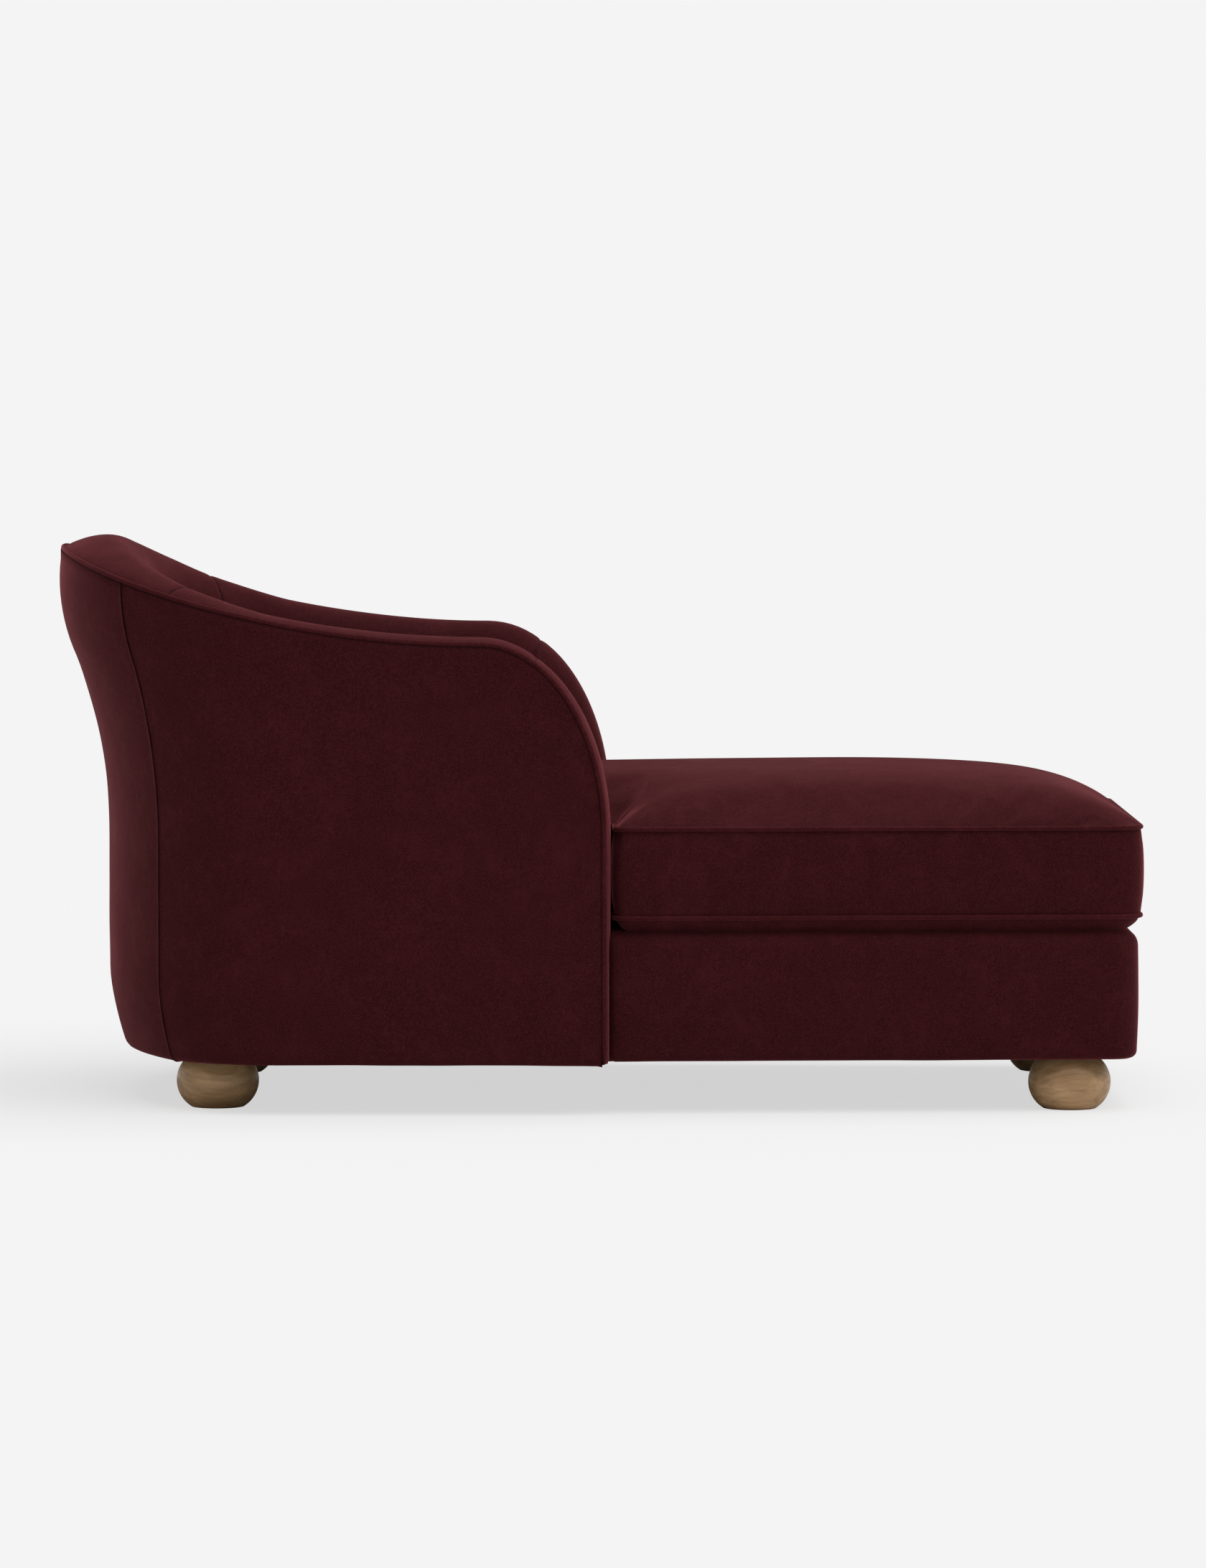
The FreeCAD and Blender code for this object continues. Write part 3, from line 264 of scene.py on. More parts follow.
def shoulderPath(degrees, side):
    # an ellipse in side view about the shoulder's centre
    angle = np.radians(degrees)
    cosine, sine = np.cos(angle), np.sin(angle)
    return pathRows(tub["shoulderStart"] + shoulderReach * cosine, 0, 0, side, cosine, sine,
                    shoulderBase + tub["shoulderDepth"] * sine)


def frontPath(z, side):
    return pathRows(tub["armFront"], 0, 0, side, 1, 0, z)


def wallPoints(path, inset, rise):
    # a point of the wall at an inset from the outside and a rise from the rim, for each row of the path
    x0, cosine, weight, across, upX, upZ, z0 = [path[:, i:i + 1] for i in range(7)]
    z = z0 + rise * upZ
    x = x0 + inset * cosine - flareAt(z) * weight + rise * upX
    y = across * (tub["halfWidth"] - inset)
    return np.stack(np.broadcast_arrays(x, y, z), axis=-1)


def rollAt(path, share):
    # the rolled top: a parabola from the welt up to the crown, then a quarter circle down to the inner face
    thick, reach, crown = path[:, 7:8], path[:, 8:9], path[:, 9:10]
    radius = thick - reach
    flatPart = share < 0.4
    first = tub["weltRoom"] + (reach - tub["weltRoom"]) * share / 0.4
    turn = np.clip((share - 0.4) / 0.6, 0, 1) * np.pi / 2
    inset = np.where(flatPart, first, reach + radius * np.sin(turn))
    rise = np.where(flatPart, crown * (1 - ((reach - first) / reach) ** 2),
                    crown - radius + radius * np.cos(turn))
    return inset, rise


def spacedPath(path, startSeam=True, endSeam=True):
    # the same path with its rows respaced along the rim, closer beside the seams
    rim = wallPoints(path, np.zeros((1, 1)), np.zeros((1, 1)))[:, 0]
    lengths = curveLengths(rim)
    return alongCurve(seamSteps(lengths[-1], panels["spacing"], startSeam, endSeam), lengths, path)


panels = {"dip": 0.0013, "dipWidth": 0.0045, "fold": 0.0019, "puff": 0.0016, "puffReach": 0.05,
          "pucker": 0.0005, "puckerReach": 0.016, "puckerLength": 0.021, "wave": 0.0009, "spacing": 0.012,
          "cloth": 0.0022, "fill": 0.85, "weld": 0.0004}


def edgeDistance(points, edges):
    # distance along the cloth to the nearest of the named edges
    u, v = arcLengths(points, 0), arcLengths(points, 1)
    gaps = [{"start": u, "end": u[-1:] - u, "low": v, "high": v[:, -1:] - v}[edge] for edge in edges]
    return np.min(gaps, axis=0)


def dressPanel(points, seam, outward, seed):
    # puffs a panel between its seams and pulls it in beside them; the row on a seam is folded in
    normal = gridNormals(points) * outward
    away = 1 - np.exp(-seam / panels["puffReach"])
    lift = panels["puff"] * away - panels["dip"] * np.exp(-(seam / panels["dipWidth"]) ** 2)
    ripple = softWaves(points, seed + 40, ((panels["puckerLength"], 1.0), (0.013, 0.8)))
    lift += panels["pucker"] * ripple * np.exp(-seam / panels["puckerReach"])
    lift += panels["wave"] * softWaves(points, seed) * away
    lift = np.where(seam < 1e-6, -panels["fold"], lift)
    return points + normal * lift[..., None]


def clothObject(name, grids, seed, *replaced):
    # grids: points, seam distances, and 1 or -1 for the side that faces out
    vertices, faces, uvs, seams = [], [], [], []
    start = 0
    for points, seam, outward in grids:
        rows, columns = points.shape[:2]
        vertices.append(dressPanel(points, seam, outward, seed).reshape(-1, 3))
        faces.append(gridFaces(rows, columns, flip=outward < 0, start=start))
        uvs.append(clothUV(points))
        seams.append(seam.ravel())
        start += rows * columns
    made = meshObject(name, np.concatenate(vertices), np.concatenate(faces), np.concatenate(uvs),
                      np.concatenate(seams), panels["weld"] if len(grids) > 1 else 0.0)
    clothThickness(made, panels["cloth"])
    placePiece(made, "frame", "velvet", *replaced)
    return made


hem = {"inset": np.array([0.020, 0.012, 0.006, 0.0025, 0.0006, 0.0]),
       "rise": np.array([0.0, 0.0, 0.0004, 0.0022, 0.006, 0.011]), "rows": 56}


def outsideGrid(path):
    # the outer face, with its bottom edge turned under
    top = path[:, 6:7] - tub["weltRoom"]
    low = tub["bottom"]
    start = low + hem["rise"][-1]
    heights = start + (top - start) * np.linspace(0, 1, hem["rows"])[None, 1:]
    turned = (len(path), len(hem["rise"]))
    z = np.concatenate([np.broadcast_to(low + hem["rise"], turned), heights], axis=1)
    inset = np.concatenate([np.broadcast_to(hem["inset"], turned), np.zeros_like(heights)], axis=1)
    return wallPoints(path, inset, z - path[:, 6:7])


def rollShares():
    return np.concatenate([[0.0, 0.012, 0.03, 0.06, 0.1], np.linspace(0.15, 1.0, 24)])[None]


def innerFace(path, rollEnd):
    # from the end of the roll down the inner face, following the back's lean
    share = np.linspace(0, 1, 34)[None, :]
    z = rollEnd[:, 2:3] + (tub["paddingBottom"] - rollEnd[:, 2:3]) * share
    x = rollEnd[:, 0:1] + (flareAt(rollEnd[:, 2:3]) - flareAt(z)) * path[:, 2:3]
    return np.stack([x, np.broadcast_to(rollEnd[:, 1:2], z.shape), z], axis=-1)


def rollGrid(path):
    inset, rise = rollAt(path, rollShares())
    return wallPoints(path, inset, rise)


# Outside covers

def armRun(side, seam, ending):
    # the arm's rim from a seam on the back to the shoulder, and then the rows that end it
    x = np.linspace(tub["roundStart"], tub["shoulderStart"], 60)[1:-1]
    return np.concatenate([backPath(side * np.linspace(seam, 90, 60)), armPath(x, side), ending])


def outsideArmPath(side):
    # columns of the flat outer face: under the slope, then under the shoulder's curve to the front edge
    angle = np.radians(np.linspace(90, 0, 80))
    room = tub["weltRoom"]
    under = pathRows(tub["shoulderStart"] + (shoulderReach - room) * np.cos(angle), 0, 0, side, 0, 1,
                     shoulderBase + (tub["shoulderDepth"] - room) * np.sin(angle) + room)
    return armRun(side, tub["outsideSeam"], under)


points = outsideGrid(spacedPath(backPath(np.linspace(-tub["outsideSeam"], tub["outsideSeam"], 200))))
grids = [(points, edgeDistance(points, ["start", "end", "high"]), 1)]
clothObject("outsideBackPanel", grids, 3, "outside_back_cover")
for label, side in sides.items():
    points = outsideGrid(spacedPath(outsideArmPath(side)))
    grids = [(points, edgeDistance(points, ["start", "end", "high"]), side)]
    clothObject("outsideArmPanel_" + label, grids, 5, "outside_arm_cover_" + label)
print("outside covers made")


# Inside covers: the rolled top and the inner face in one panel, parted by the curved seams

path = spacedPath(backPath(np.linspace(-tub["insideSeam"], tub["insideSeam"], 220)))
points = rollGrid(path)
points = np.concatenate([points, innerFace(path, points[:, -1])[:, 1:]], axis=1)
grids = [(points, edgeDistance(points, ["start", "end", "low"]), -1)]
insidePanels = [clothObject("insideBackPanel", grids, 7, "inside_back_cover", "back_foam")]
for label, side in sides.items():
    shoulder = shoulderPath(np.linspace(90, tub["frontSeam"], 60), side)
    path = spacedPath(armRun(side, tub["insideSeam"], shoulder))
    roll = rollGrid(path)
    inner = innerFace(path, roll[:, -1])
    points = np.concatenate([roll, inner[:, 1:]], axis=1)
    seam = edgeDistance(points, ["start", "low"])
    along, down = arcLengths(points, 0), arcLengths(points, 1)
    toFront = along[-1:] - along
    below = np.clip(down - down[:, roll.shape[1] - 1:roll.shape[1]], 0, None)
    seam = np.minimum(seam, np.hypot(toFront, below))
    front = shoulderPath(np.linspace(tub["frontSeam"], 0, 90), side)
    frontPart = spacedPath(front, startSeam=False)
    ends = rollGrid(frontPart)[:, -1]
    face = innerFace(frontPart, ends)
    grids = [(points, seam, -side), (face, edgeDistance(face, ["low", "end"]), -side)]
    insidePanels.append(clothObject("insideArmPanel_" + label, grids, 9,
                                    "inside_arm_cover_" + label, "arm_foam_" + label))
    heights = np.linspace(shoulderBase, tub["paddingBottom"], 24)[1:]
    over = rollGrid(spacedPath(np.concatenate([front, frontPath(heights, side)]), endSeam=False))
    low = np.linspace(tub["paddingBottom"], tub["bottom"] + 0.008, 14)
    underEdge = pathRows(tub["armFront"] - np.array([0.002, 0.006, 0.012, 0.02]), 0, 0, side, 1, 0,
                         np.array([0.0795, 0.0781, 0.078, 0.078]))
    down = rollGrid(np.concatenate([frontPath(low, side), underEdge]))[:, :7]
    grids = [(over, edgeDistance(over, ["start", "low", "high"]), -side),
             (down, edgeDistance(down, ["low"]), -side)]
    insidePanels.append(clothObject("armFrontPanel_" + label, grids, 11, "arm_front_cover_" + label))
print("inside covers made")


# Welts: a cord in cloth along a path

welts = {"rimRadius": 0.0042, "cushionRadius": 0.0037, "tuck": 0.0018, "sides": 14, "twist": 0.03,
         "spacing": 0.006}


def tubeObject(name, centres, outward, radius, closed, seed):
    # rings of a circle that stands on the path: centre + r (cos f outward + sin f side)
    if closed:
        tangent = np.roll(centres, -1, axis=0) - np.roll(centres, 1, axis=0)
    else:
        tangent = np.gradient(centres, axis=0)
    tangent /= np.linalg.norm(tangent, axis=1, keepdims=True)
    across = np.cross(tangent, outward)
    across /= np.linalg.norm(across, axis=1, keepdims=True)
    turn = np.linspace(0, 2 * np.pi, welts["sides"], endpoint=False)
    uneven = softWaves(centres, seed, ((0.017, 1.0), (0.05, 0.8)))
    size = np.full(len(centres), radius) * (1 + welts["twist"] * uneven)
    if not closed:
        taper = np.array([0.02, 0.55, 0.85])
        size[:3] *= taper
        size[-3:] *= taper[::-1]
    ring = np.cos(turn)[None, :, None] * outward[:, None] + np.sin(turn)[None, :, None] * across[:, None]
    points = centres[:, None] + size[:, None, None] * ring
    rows, columns = points.shape[:2]
    faces = gridFaces(rows, columns, closed, True)
    uv = np.stack(np.broadcast_arrays(curveLengths(centres)[:, None], turn[None] * radius), axis=-1)
    faces = faces.tolist()
    if not closed:
        faces += [list(range(columns)), list(range((rows - 1) * columns, rows * columns))[::-1]]
    return meshObject(name, points.reshape(-1, 3), faces, uv.reshape(-1, 2), turned=True)


def halfRim(side):
    return np.concatenate([frontPath(np.linspace(tub["bottom"] + 0.002, shoulderBase, 60), side),
                           shoulderPath(np.linspace(0, 90, 90)[1:], side),
                           armPath(np.linspace(tub["shoulderStart"], tub["roundStart"], 60)[1:], side)])


rimPath = np.concatenate([halfRim(-1), backPath(np.linspace(-90, 90, 200))[1:-1], halfRim(1)[::-1]])
rimPoints = wallPoints(rimPath, np.zeros((1, 1)), np.zeros((1, 1)))[:, 0]
inward = np.stack([rimPath[:, 1], -rimPath[:, 3], np.zeros(len(rimPath))], axis=1)
length = curveLengths(rimPoints)
places = np.linspace(0, length[-1], int(length[-1] / welts["spacing"]))
rimCentres = alongCurve(places, length, rimPoints)
rimOutward = -alongCurve(places, length, inward)
rimOutward /= np.linalg.norm(rimOutward, axis=1, keepdims=True)
rimWelt = tubeObject("rimPiping", rimCentres, rimOutward, welts["rimRadius"], False, 21)
placePiece(rimWelt, "frame", "welt_velvet", "rim_welt")
print("rim piping made, length", round(float(length[-1]), 3))


# The base: a box with rounded edges, drawn as its plan outline carried up a profile

base = {"start": 0.026, "rear": 0.0200, "end": 0.839, "bottom": 0.081, "top": 0.281, "halfNear": 0.402,
        "halfFar": 0.366, "topRound": 0.024, "bottomRound": 0.012, "cornerRound": 0.040, "belly": 0.0018,
        "ripple": 0.0006, "endTuck": 0.003, "spineEnd": 0.34}
baseSlope = (base["halfNear"] - base["halfFar"]) / (base["end"] - base["start"])


def baseOutline(inset):
    # straight tapering sides, round corners at the foot end: one row of points for each inset
    inset = np.atleast_1d(inset)[:, None]
    taper = math.atan(baseSlope)
    radius = np.maximum(base["cornerRound"] - inset, 0.006)
    end = base["end"] - inset
    centreX = end - radius
    sideAt = base["halfNear"] - baseSlope * (centreX - base["start"]) - inset / math.cos(taper)
    centreY = sideAt - radius / math.cos(taper)
    turn = np.linspace(np.pi / 2 - taper, 0, 14)[None]
    cornerX, cornerY = centreX + radius * np.cos(turn), centreY + radius * np.sin(turn)
    share = np.linspace(0, 1, 76)[None, :-1]
    startY = base["halfNear"] + baseSlope * (base["start"] - base["rear"]) - inset / math.cos(taper)
    sideX = base["rear"] + (cornerX[:, :1] - base["rear"]) * share
    sideY = startY + (cornerY[:, :1] - startY) * share
    frontY = cornerY[:, -1:] * (1 - np.linspace(0, 1, 31)[None, 1:])
    frontX = np.broadcast_to(end, frontY.shape)
    x = np.concatenate([sideX, cornerX, frontX], axis=1)
    y = np.concatenate([sideY, cornerY, frontY], axis=1)
    return np.concatenate([x, x[:, -2::-1]], axis=1), np.concatenate([y, -y[:, -2::-1]], axis=1)


def basePanelGrid():
    low, high = base["bottom"], base["top"]
    small, large = base["bottomRound"], base["topRound"]
    quarter = np.linspace(0, np.pi / 2, 8)
    inset = np.concatenate([[0.032, 0.022], small * (1 - np.sin(quarter)), np.zeros(22),
                            large * (1 - np.cos(quarter)), [0.03, 0.038, 0.05]])
    z = np.concatenate([[low + 0.001, low], low + small * (1 - np.cos(quarter)),
                        np.linspace(low + small, high - large, 24)[1:-1],
                        high - large + large * np.sin(quarter), [high, high, high]])
    x, y = baseOutline(inset)
    points = np.stack([x, y, np.broadcast_to(z[:, None], x.shape)], axis=-1)
    spineX = np.minimum(points[-1, :, 0], base["end"] - base["spineEnd"])
    share = np.linspace(0, 1, 26)[1:, None]
    top = np.stack([points[-1, :, 0] * (1 - share) + spineX * share, points[-1, :, 1] * (1 - share),
                    np.full((len(share), x.shape[1]), high)], axis=-1)
    return np.concatenate([points, top]).transpose(1, 0, 2), len(z)


def bulgeBase(points, faceRows):
    # the faces swell a little between their rounded edges, and the cloth waves softly; the grid's own normal
    # points inwards, so it is turned round
    normal = -gridNormals(points)
    share = np.clip((points[..., 2] - base["bottom"]) / (base["top"] - base["bottom"]), 0, 1)
    lift = base["belly"] * np.sin(np.pi * share) + base["ripple"] * softWaves(points, 31)
    lift[:, :3] = 0
    lift[:, faceRows + 1:] = 0.0
    lift[0] = lift[-1] = -base["endTuck"]
    lift[0, faceRows:] = lift[-1, faceRows:] = 0.0
    return points + normal * lift[..., None]


points, faceRows = basePanelGrid()
dressed = bulgeBase(points, faceRows)
basePanel = meshObject("basePanel", dressed.reshape(-1, 3), gridFaces(*points.shape[:2], flip=True),
                       clothUV(points), welded=panels["weld"])
clothThickness(basePanel, panels["cloth"])
placePiece(basePanel, "frame", "velvet", "base_cover", "base_padding")
print("base panel made")


# The loose cushion: rings of its T-shaped plan, sewn at the two welts and swollen as cloth

cushion = {"end": 0.8465, "ear": 0.0275, "topWelt": 0.440, "bottomWelt": 0.303, "low": 0.2813, "crown": 0.080,
           "crownReach": 0.300, "crownPower": 2.8, "belly": 0.004, "sideGap": 0.006, "backGap": 0.008,
           "rearShift": 0.029, "cornerRound": 0.042, "rearRound": 0.100, "earRound": 0.014,
           "notchRound": 0.008, "pull": 0.016, "deepRing": 0.052, "blendStart": 0.010, "blendLength": 0.040,
           "wave": 0.0030, "weld": 0.0003, "fill": 0.9, "underRows": 6,
           "curlRows": 6, "bandRows": 16, "spineRear": 0.09, "spineFront": 0.13}
swelling = {"pressure": 3.0, "slack": -0.012, "frames": 20, "topCap": 0.003, "sideCap": 0.0035, "quality": 5,
            "mass": 0.25, "tension": 12, "shear": 6, "bending": 0.6, "near": 1e-4, "aboveWelt": 0.004}
# how much each corner's radius, and the rear curve's start and depth, change for each unit of inset
growth = {"corner": 0.25, "ear": 0.15, "notch": 0.6, "rear": -0.25, "rearStart": 0.75, "rearDepth": -0.25}


def arcRow(centreX, centreY, radius, first, last, count):
    turn = np.radians(first + (last - first) * np.linspace(0, 1, count)[None])
    return centreX + radius * np.cos(turn), centreY + radius * np.sin(turn)


def cushionOutline(inset):
    # tangent arcs: round back, back corner, notch at the arm, ear, foot corner, with straights between
    inset = np.atleast_1d(np.asarray(inset, float))[:, None]
    slope = (base["halfNear"] - base["halfFar"]) / (cushion["end"] - cushion["ear"])
    taper = math.atan(slope)
    end, ear = cushion["end"] - inset, cushion["ear"] + inset
    bodyHalf = tub["halfWidth"] - tub["armThickness"] - cushion["sideGap"] - inset
    turn = cushion["cornerRound"] + growth["corner"] * inset
    earTurn = cushion["earRound"] + growth["ear"] * inset
    notchTurn = cushion["notchRound"] + growth["notch"] * inset
    rearTurn = cushion["rearRound"] + growth["rear"] * inset
    rearStart = tub["roundStart"] + cushion["rearShift"] + growth["rearStart"] * inset
    rearDepth = tub["roundDepth"] - tub["armThickness"] - tub["backExtra"] - cushion["backGap"]
    rearDepth = rearDepth + cushion["rearShift"] + growth["rearDepth"] * inset
    across = bodyHalf - rearTurn
    rearRadius = (rearDepth ** 2 + across ** 2 - rearTurn ** 2) / (2 * (rearDepth - rearTurn))
    rearCentre = rearStart - rearDepth + rearRadius
    lean = np.degrees(np.arctan2(across, rearCentre - rearStart))
    sideTurn = 90 - math.degrees(taper)

    def sideCentre(x, radius):
        line = base["halfNear"] - slope * (x - cushion["ear"]) - inset / math.cos(taper)
        return line - radius / math.cos(taper)

    earX, footX = ear + earTurn, end - turn
    runs = [arcRow(rearCentre, 0.0, rearRadius, 180.0, 180.0 - lean, 34),
            arcRow(rearStart, across, rearTurn, 180.0 - lean, 90.0, 12),
            arcRow(ear - notchTurn, bodyHalf + notchTurn, notchTurn, -90.0, 0.0, 7),
            arcRow(earX, sideCentre(earX, earTurn), earTurn, 180.0, sideTurn, 8),
            arcRow(footX, sideCentre(footX, turn), turn, sideTurn, 0.0, 12)]
    rows = []
    for (x, y), following, straightCount in zip(runs, runs[1:] + [None], (0, 44, 8, 74, 0)):
        rows.append((x, y))
        if straightCount:
            share = np.linspace(0, 1, straightCount + 2)[None, 1:-1]
            rows.append((x[:, -1:] + (following[0][:, :1] - x[:, -1:]) * share,
                         y[:, -1:] + (following[1][:, :1] - y[:, -1:]) * share))
        elif following is not None:
            rows[-1] = (x[:, :-1], y[:, :-1])
    x = np.concatenate([row[0] for row in rows], axis=1)
    y = np.concatenate([row[1] for row in rows], axis=1)
    share = np.linspace(0, 1, 44)[None, 1:]
    x = np.concatenate([x, np.broadcast_to(x[:, -1:], (len(x), share.shape[1]))], axis=1)
    y = np.concatenate([y, y[:, -1:] * (1 - share)], axis=1)
    return np.concatenate([x, x[:, -2:0:-1]], axis=1), np.concatenate([y, -y[:, -2:0:-1]], axis=1)


def crownHeight(reach):
    # the top's height at a distance from its edge: a power curve that levels out in the middle
    share = np.clip(1 - reach / cushion["crownReach"], 0, 1)
    return cushion["topWelt"] + cushion["crown"] * (1 - share ** cushion["crownPower"])


def cushionRings():
    # insets and heights of the rings: along the underside, out over both welts and onto the crown
    middle = (cushion["topWelt"] + cushion["bottomWelt"]) / 2
    half = (cushion["topWelt"] - cushion["bottomWelt"]) / 2
    under = np.linspace(cushion["deepRing"], 0.024, cushion["underRows"])
    curl = np.linspace(0, 1, cushion["curlRows"])
    inset = [under, cushion["belly"] + cushion["pull"] * (1 - curl) ** 1.6]
    low = cushion["low"]
    z = [np.full(len(under), low), low + (cushion["bottomWelt"] - low) * curl]
    band = np.sin(np.linspace(-np.pi / 2, np.pi / 2, cushion["bandRows"] + 2))[1:-1]
    inset.append(cushion["belly"] * band ** 2 * 0.9)
    z.append(middle + half * band)
    reach = np.linspace(0.015, cushion["deepRing"] ** 0.6, 14) ** (1 / 0.6)
    reach = np.concatenate([[0.0, 0.0012, 0.003], reach[reach > 0.004]])
    inset.append(cushion["belly"] + reach)
    z.append(crownHeight(reach))
    return np.concatenate(inset), np.concatenate(z)


ringInset, ringZ = cushionRings()
ringX, ringY = cushionOutline(ringInset)
rings = np.stack([ringX, ringY, np.broadcast_to(ringZ[:, None], ringX.shape)], axis=-1)


def towardsSpine(ring, z, rows):
    # closes a face: from a ring straight across to the middle line
    low, high = ring[:, 0].min() + cushion["spineRear"], ring[:, 0].max() - cushion["spineFront"]
    spine = np.clip(ring[:, 0], low, high)
    share = np.linspace(0, 1, rows + 1)[1:, None]
    x = ring[:, 0] * (1 - share) + spine * share
    return np.stack([x, ring[:, 1] * (1 - share), np.full(x.shape, z)], axis=-1)


lowMiddle = towardsSpine(rings[0], cushion["low"], 20)[::-1]
topMiddle = towardsSpine(rings[-1], cushion["topWelt"], 24)
form = np.concatenate([lowMiddle, rings, topMiddle])
bottomRow = len(lowMiddle) + cushion["underRows"] + cushion["curlRows"] - 1
topRow = bottomRow + cushion["bandRows"] + 1
rows, columns = form.shape[:2]
uv = np.stack([arcLengths(form, 1), arcLengths(form, 0)], axis=-1).reshape(-1, 2)
print("cushion rings:", rows, "by", columns, "welt rows", form[bottomRow, 0, 2], form[topRow, 0, 2])


def swellCushion(made):
    # cloth simulation under pressure with the welts and the underside held, its movement capped, then applied
    rest = np.zeros(len(made.data.vertices) * 3)
    made.data.vertices.foreach_get("co", rest)
    rest = rest.reshape(-1, 3)
    held = made.vertex_groups.new(name="welts")
    height = rest[:, 2]
    near = swelling["near"]
    edge = (np.abs(height - cushion["topWelt"]) < near) | (np.abs(height - cushion["bottomWelt"]) < near)
    resting = height < cushion["low"] + near
    held.add(np.flatnonzero(edge | resting).tolist(), 1.0, "REPLACE")
    cloth = made.modifiers.new("swell", "CLOTH")
    settings = cloth.settings
    settings.vertex_group_mass = "welts"
    settings.quality = swelling["quality"]
    settings.mass = swelling["mass"]
    settings.tension_stiffness = settings.compression_stiffness = swelling["tension"]
    settings.shear_stiffness = swelling["shear"]
    settings.bending_stiffness = swelling["bending"]
    settings.shrink_min = swelling["slack"]
    settings.use_pressure = True
    settings.uniform_pressure_force = swelling["pressure"]
    settings.effector_weights.gravity = 0
    cloth.collision_settings.use_collision = False
    cloth.point_cache.frame_end = swelling["frames"]
    for step in range(1, swelling["frames"] + 1):
        scene.frame_set(step)
    swollen = np.zeros(len(rest) * 3)
    result = made.evaluated_get(bpy.context.evaluated_depsgraph_get())
    result.data.vertices.foreach_get("co", swollen)
    made.modifiers.remove(cloth)
    scene.frame_set(1)
    move = swollen.reshape(-1, 3) - rest
    reach = np.linalg.norm(move, axis=1, keepdims=True)
    top = rest[:, 2:3] > cushion["topWelt"] + swelling["aboveWelt"]
    cap = np.where(top, swelling["topCap"], swelling["sideCap"])
    move *= np.minimum(1, cap / np.maximum(reach, 1e-9))
    print("cushion swollen by up to", round(float(np.linalg.norm(move, axis=1).max()), 4))
    made.data.vertices.foreach_set("co", (rest + move).ravel())
    made.data.update()


def smoothDistance(points, outline):
    # distance from the edge without creases, from the sum of edge length / distance cubed,
    # which is 2 / distance squared beside a long straight edge
    edge = np.vstack([outline, outline[:1]])
    lengths = curveLengths(edge)
    count = 1200
    places = np.linspace(0, lengths[-1], count, endpoint=False)
    x, y = np.interp(places, lengths, edge[:, 0]), np.interp(places, lengths, edge[:, 1])
    away = np.hypot(points[..., 0, None] - x, points[..., 1, None] - y)
    total = lengths[-1] / count * (1 / np.maximum(away, 0.002) ** 3).sum(axis=-1)
    return (2 / total) ** 0.5


edgeX, edgeY = cushionOutline([cushion["belly"]])
onTop = form[topRow + 1:]
trueReach = smoothDistance(onTop, np.stack([edgeX[0], edgeY[0]], axis=1))
ringReach = np.concatenate([ringInset[topRow + 1 - len(lowMiddle):] - cushion["belly"],
                            np.full(len(topMiddle), cushion["crownReach"])])[:, None]
share = np.clip((ringReach - cushion["blendStart"]) / cushion["blendLength"], 0, 1)
share = share * share * (3 - 2 * share)
reach = ringReach * (1 - share) + trueReach * share
form[topRow + 1:, :, 2] = crownHeight(reach)
waves = softWaves(form, 61, ((0.42, 1.0), (0.23, 0.6)))
crownShare = np.clip((form[..., 2] - cushion["topWelt"]) / cushion["crown"], 0, 1)
# distance to the nearer welt, which also sets where the velvet's painted seam shade falls; the rows under the
# cushion are kept out of it
seam = np.minimum(np.abs(form[..., 2] - cushion["topWelt"]), np.abs(form[..., 2] - cushion["bottomWelt"]))
seam = seam + np.where(np.arange(rows)[:, None] < bottomRow, 0.01, 0.0)
form[..., 2] += cushion["wave"] * waves * crownShare
seatCushion = meshObject("seatCushion", form.reshape(-1, 3), gridFaces(rows, columns, closedColumns=True), uv,
                         seam.ravel(), cushion["weld"], turned=True)
swellCushion(seatCushion)
smooth = seatCushion.modifiers.new("smooth", "SUBSURF")
smooth.levels = smooth.render_levels = 1
placePiece(seatCushion, "cushion", "velvet", "cushion_top_panel", "cushion_boxing", "cushion_bottom_panel",
           "cushion_filling", "cushion_core")
for label, height in (("Top", cushion["topWelt"]), ("Bottom", cushion["bottomWelt"])):
    x, y = cushionOutline([cushion["belly"] - welts["cushionRadius"] + welts["tuck"]])
    line = np.stack([x[0], y[0], np.full(x.shape[1], height)], axis=1)
    closedLine = np.vstack([line, line[:1]])
    lengths = curveLengths(closedLine)
    places = np.linspace(0, lengths[-1], int(lengths[-1] / welts["spacing"]) + 1)[:-1]
    line = alongCurve(places, lengths, closedLine)
    step = np.roll(line, -1, axis=0) - np.roll(line, 1, axis=0)
    outward = np.stack([-step[:, 1], step[:, 0], np.zeros(len(step))], axis=1)
    outward /= np.linalg.norm(outward, axis=1, keepdims=True)
    if outward[len(line) // 2, 0] < 0:
        outward = -outward
    welt = tubeObject("cushionPiping" + label, line, outward, welts["cushionRadius"], True, 23)
    placePiece(welt, "cushion", "welt_velvet", "cushion_" + label.lower() + "_welt")
    print(label.lower(), "cushion piping made, length", round(float(lengths[-1]), 3))


# The zip along the rear boxing, on one arc about an upright axis: tape, teeth and slider with its pull

zipParts = {"axis": 0.0093, "radius": 0.6336, "middle": 0.3715, "width": 0.024, "halfAngle": 12.0,
            "tape": 0.0009, "pitch": 0.0030, "tooth": 0.0017, "toothHeight": 0.0056, "toothDepth": 0.0006,
            "stagger": 0.0006, "endAngle": 0.006, "bevel": 0.00025, "sliderAt": 0.1354,
            "sliderLength": 0.0132, "sliderHeight": 0.0092, "sliderDepth": (0.0009, 0.0036),
            "pullLength": 0.0115, "pullWidth": 0.0052, "pullDepth": (0.0039, 0.0052), "pullTop": 0.006}


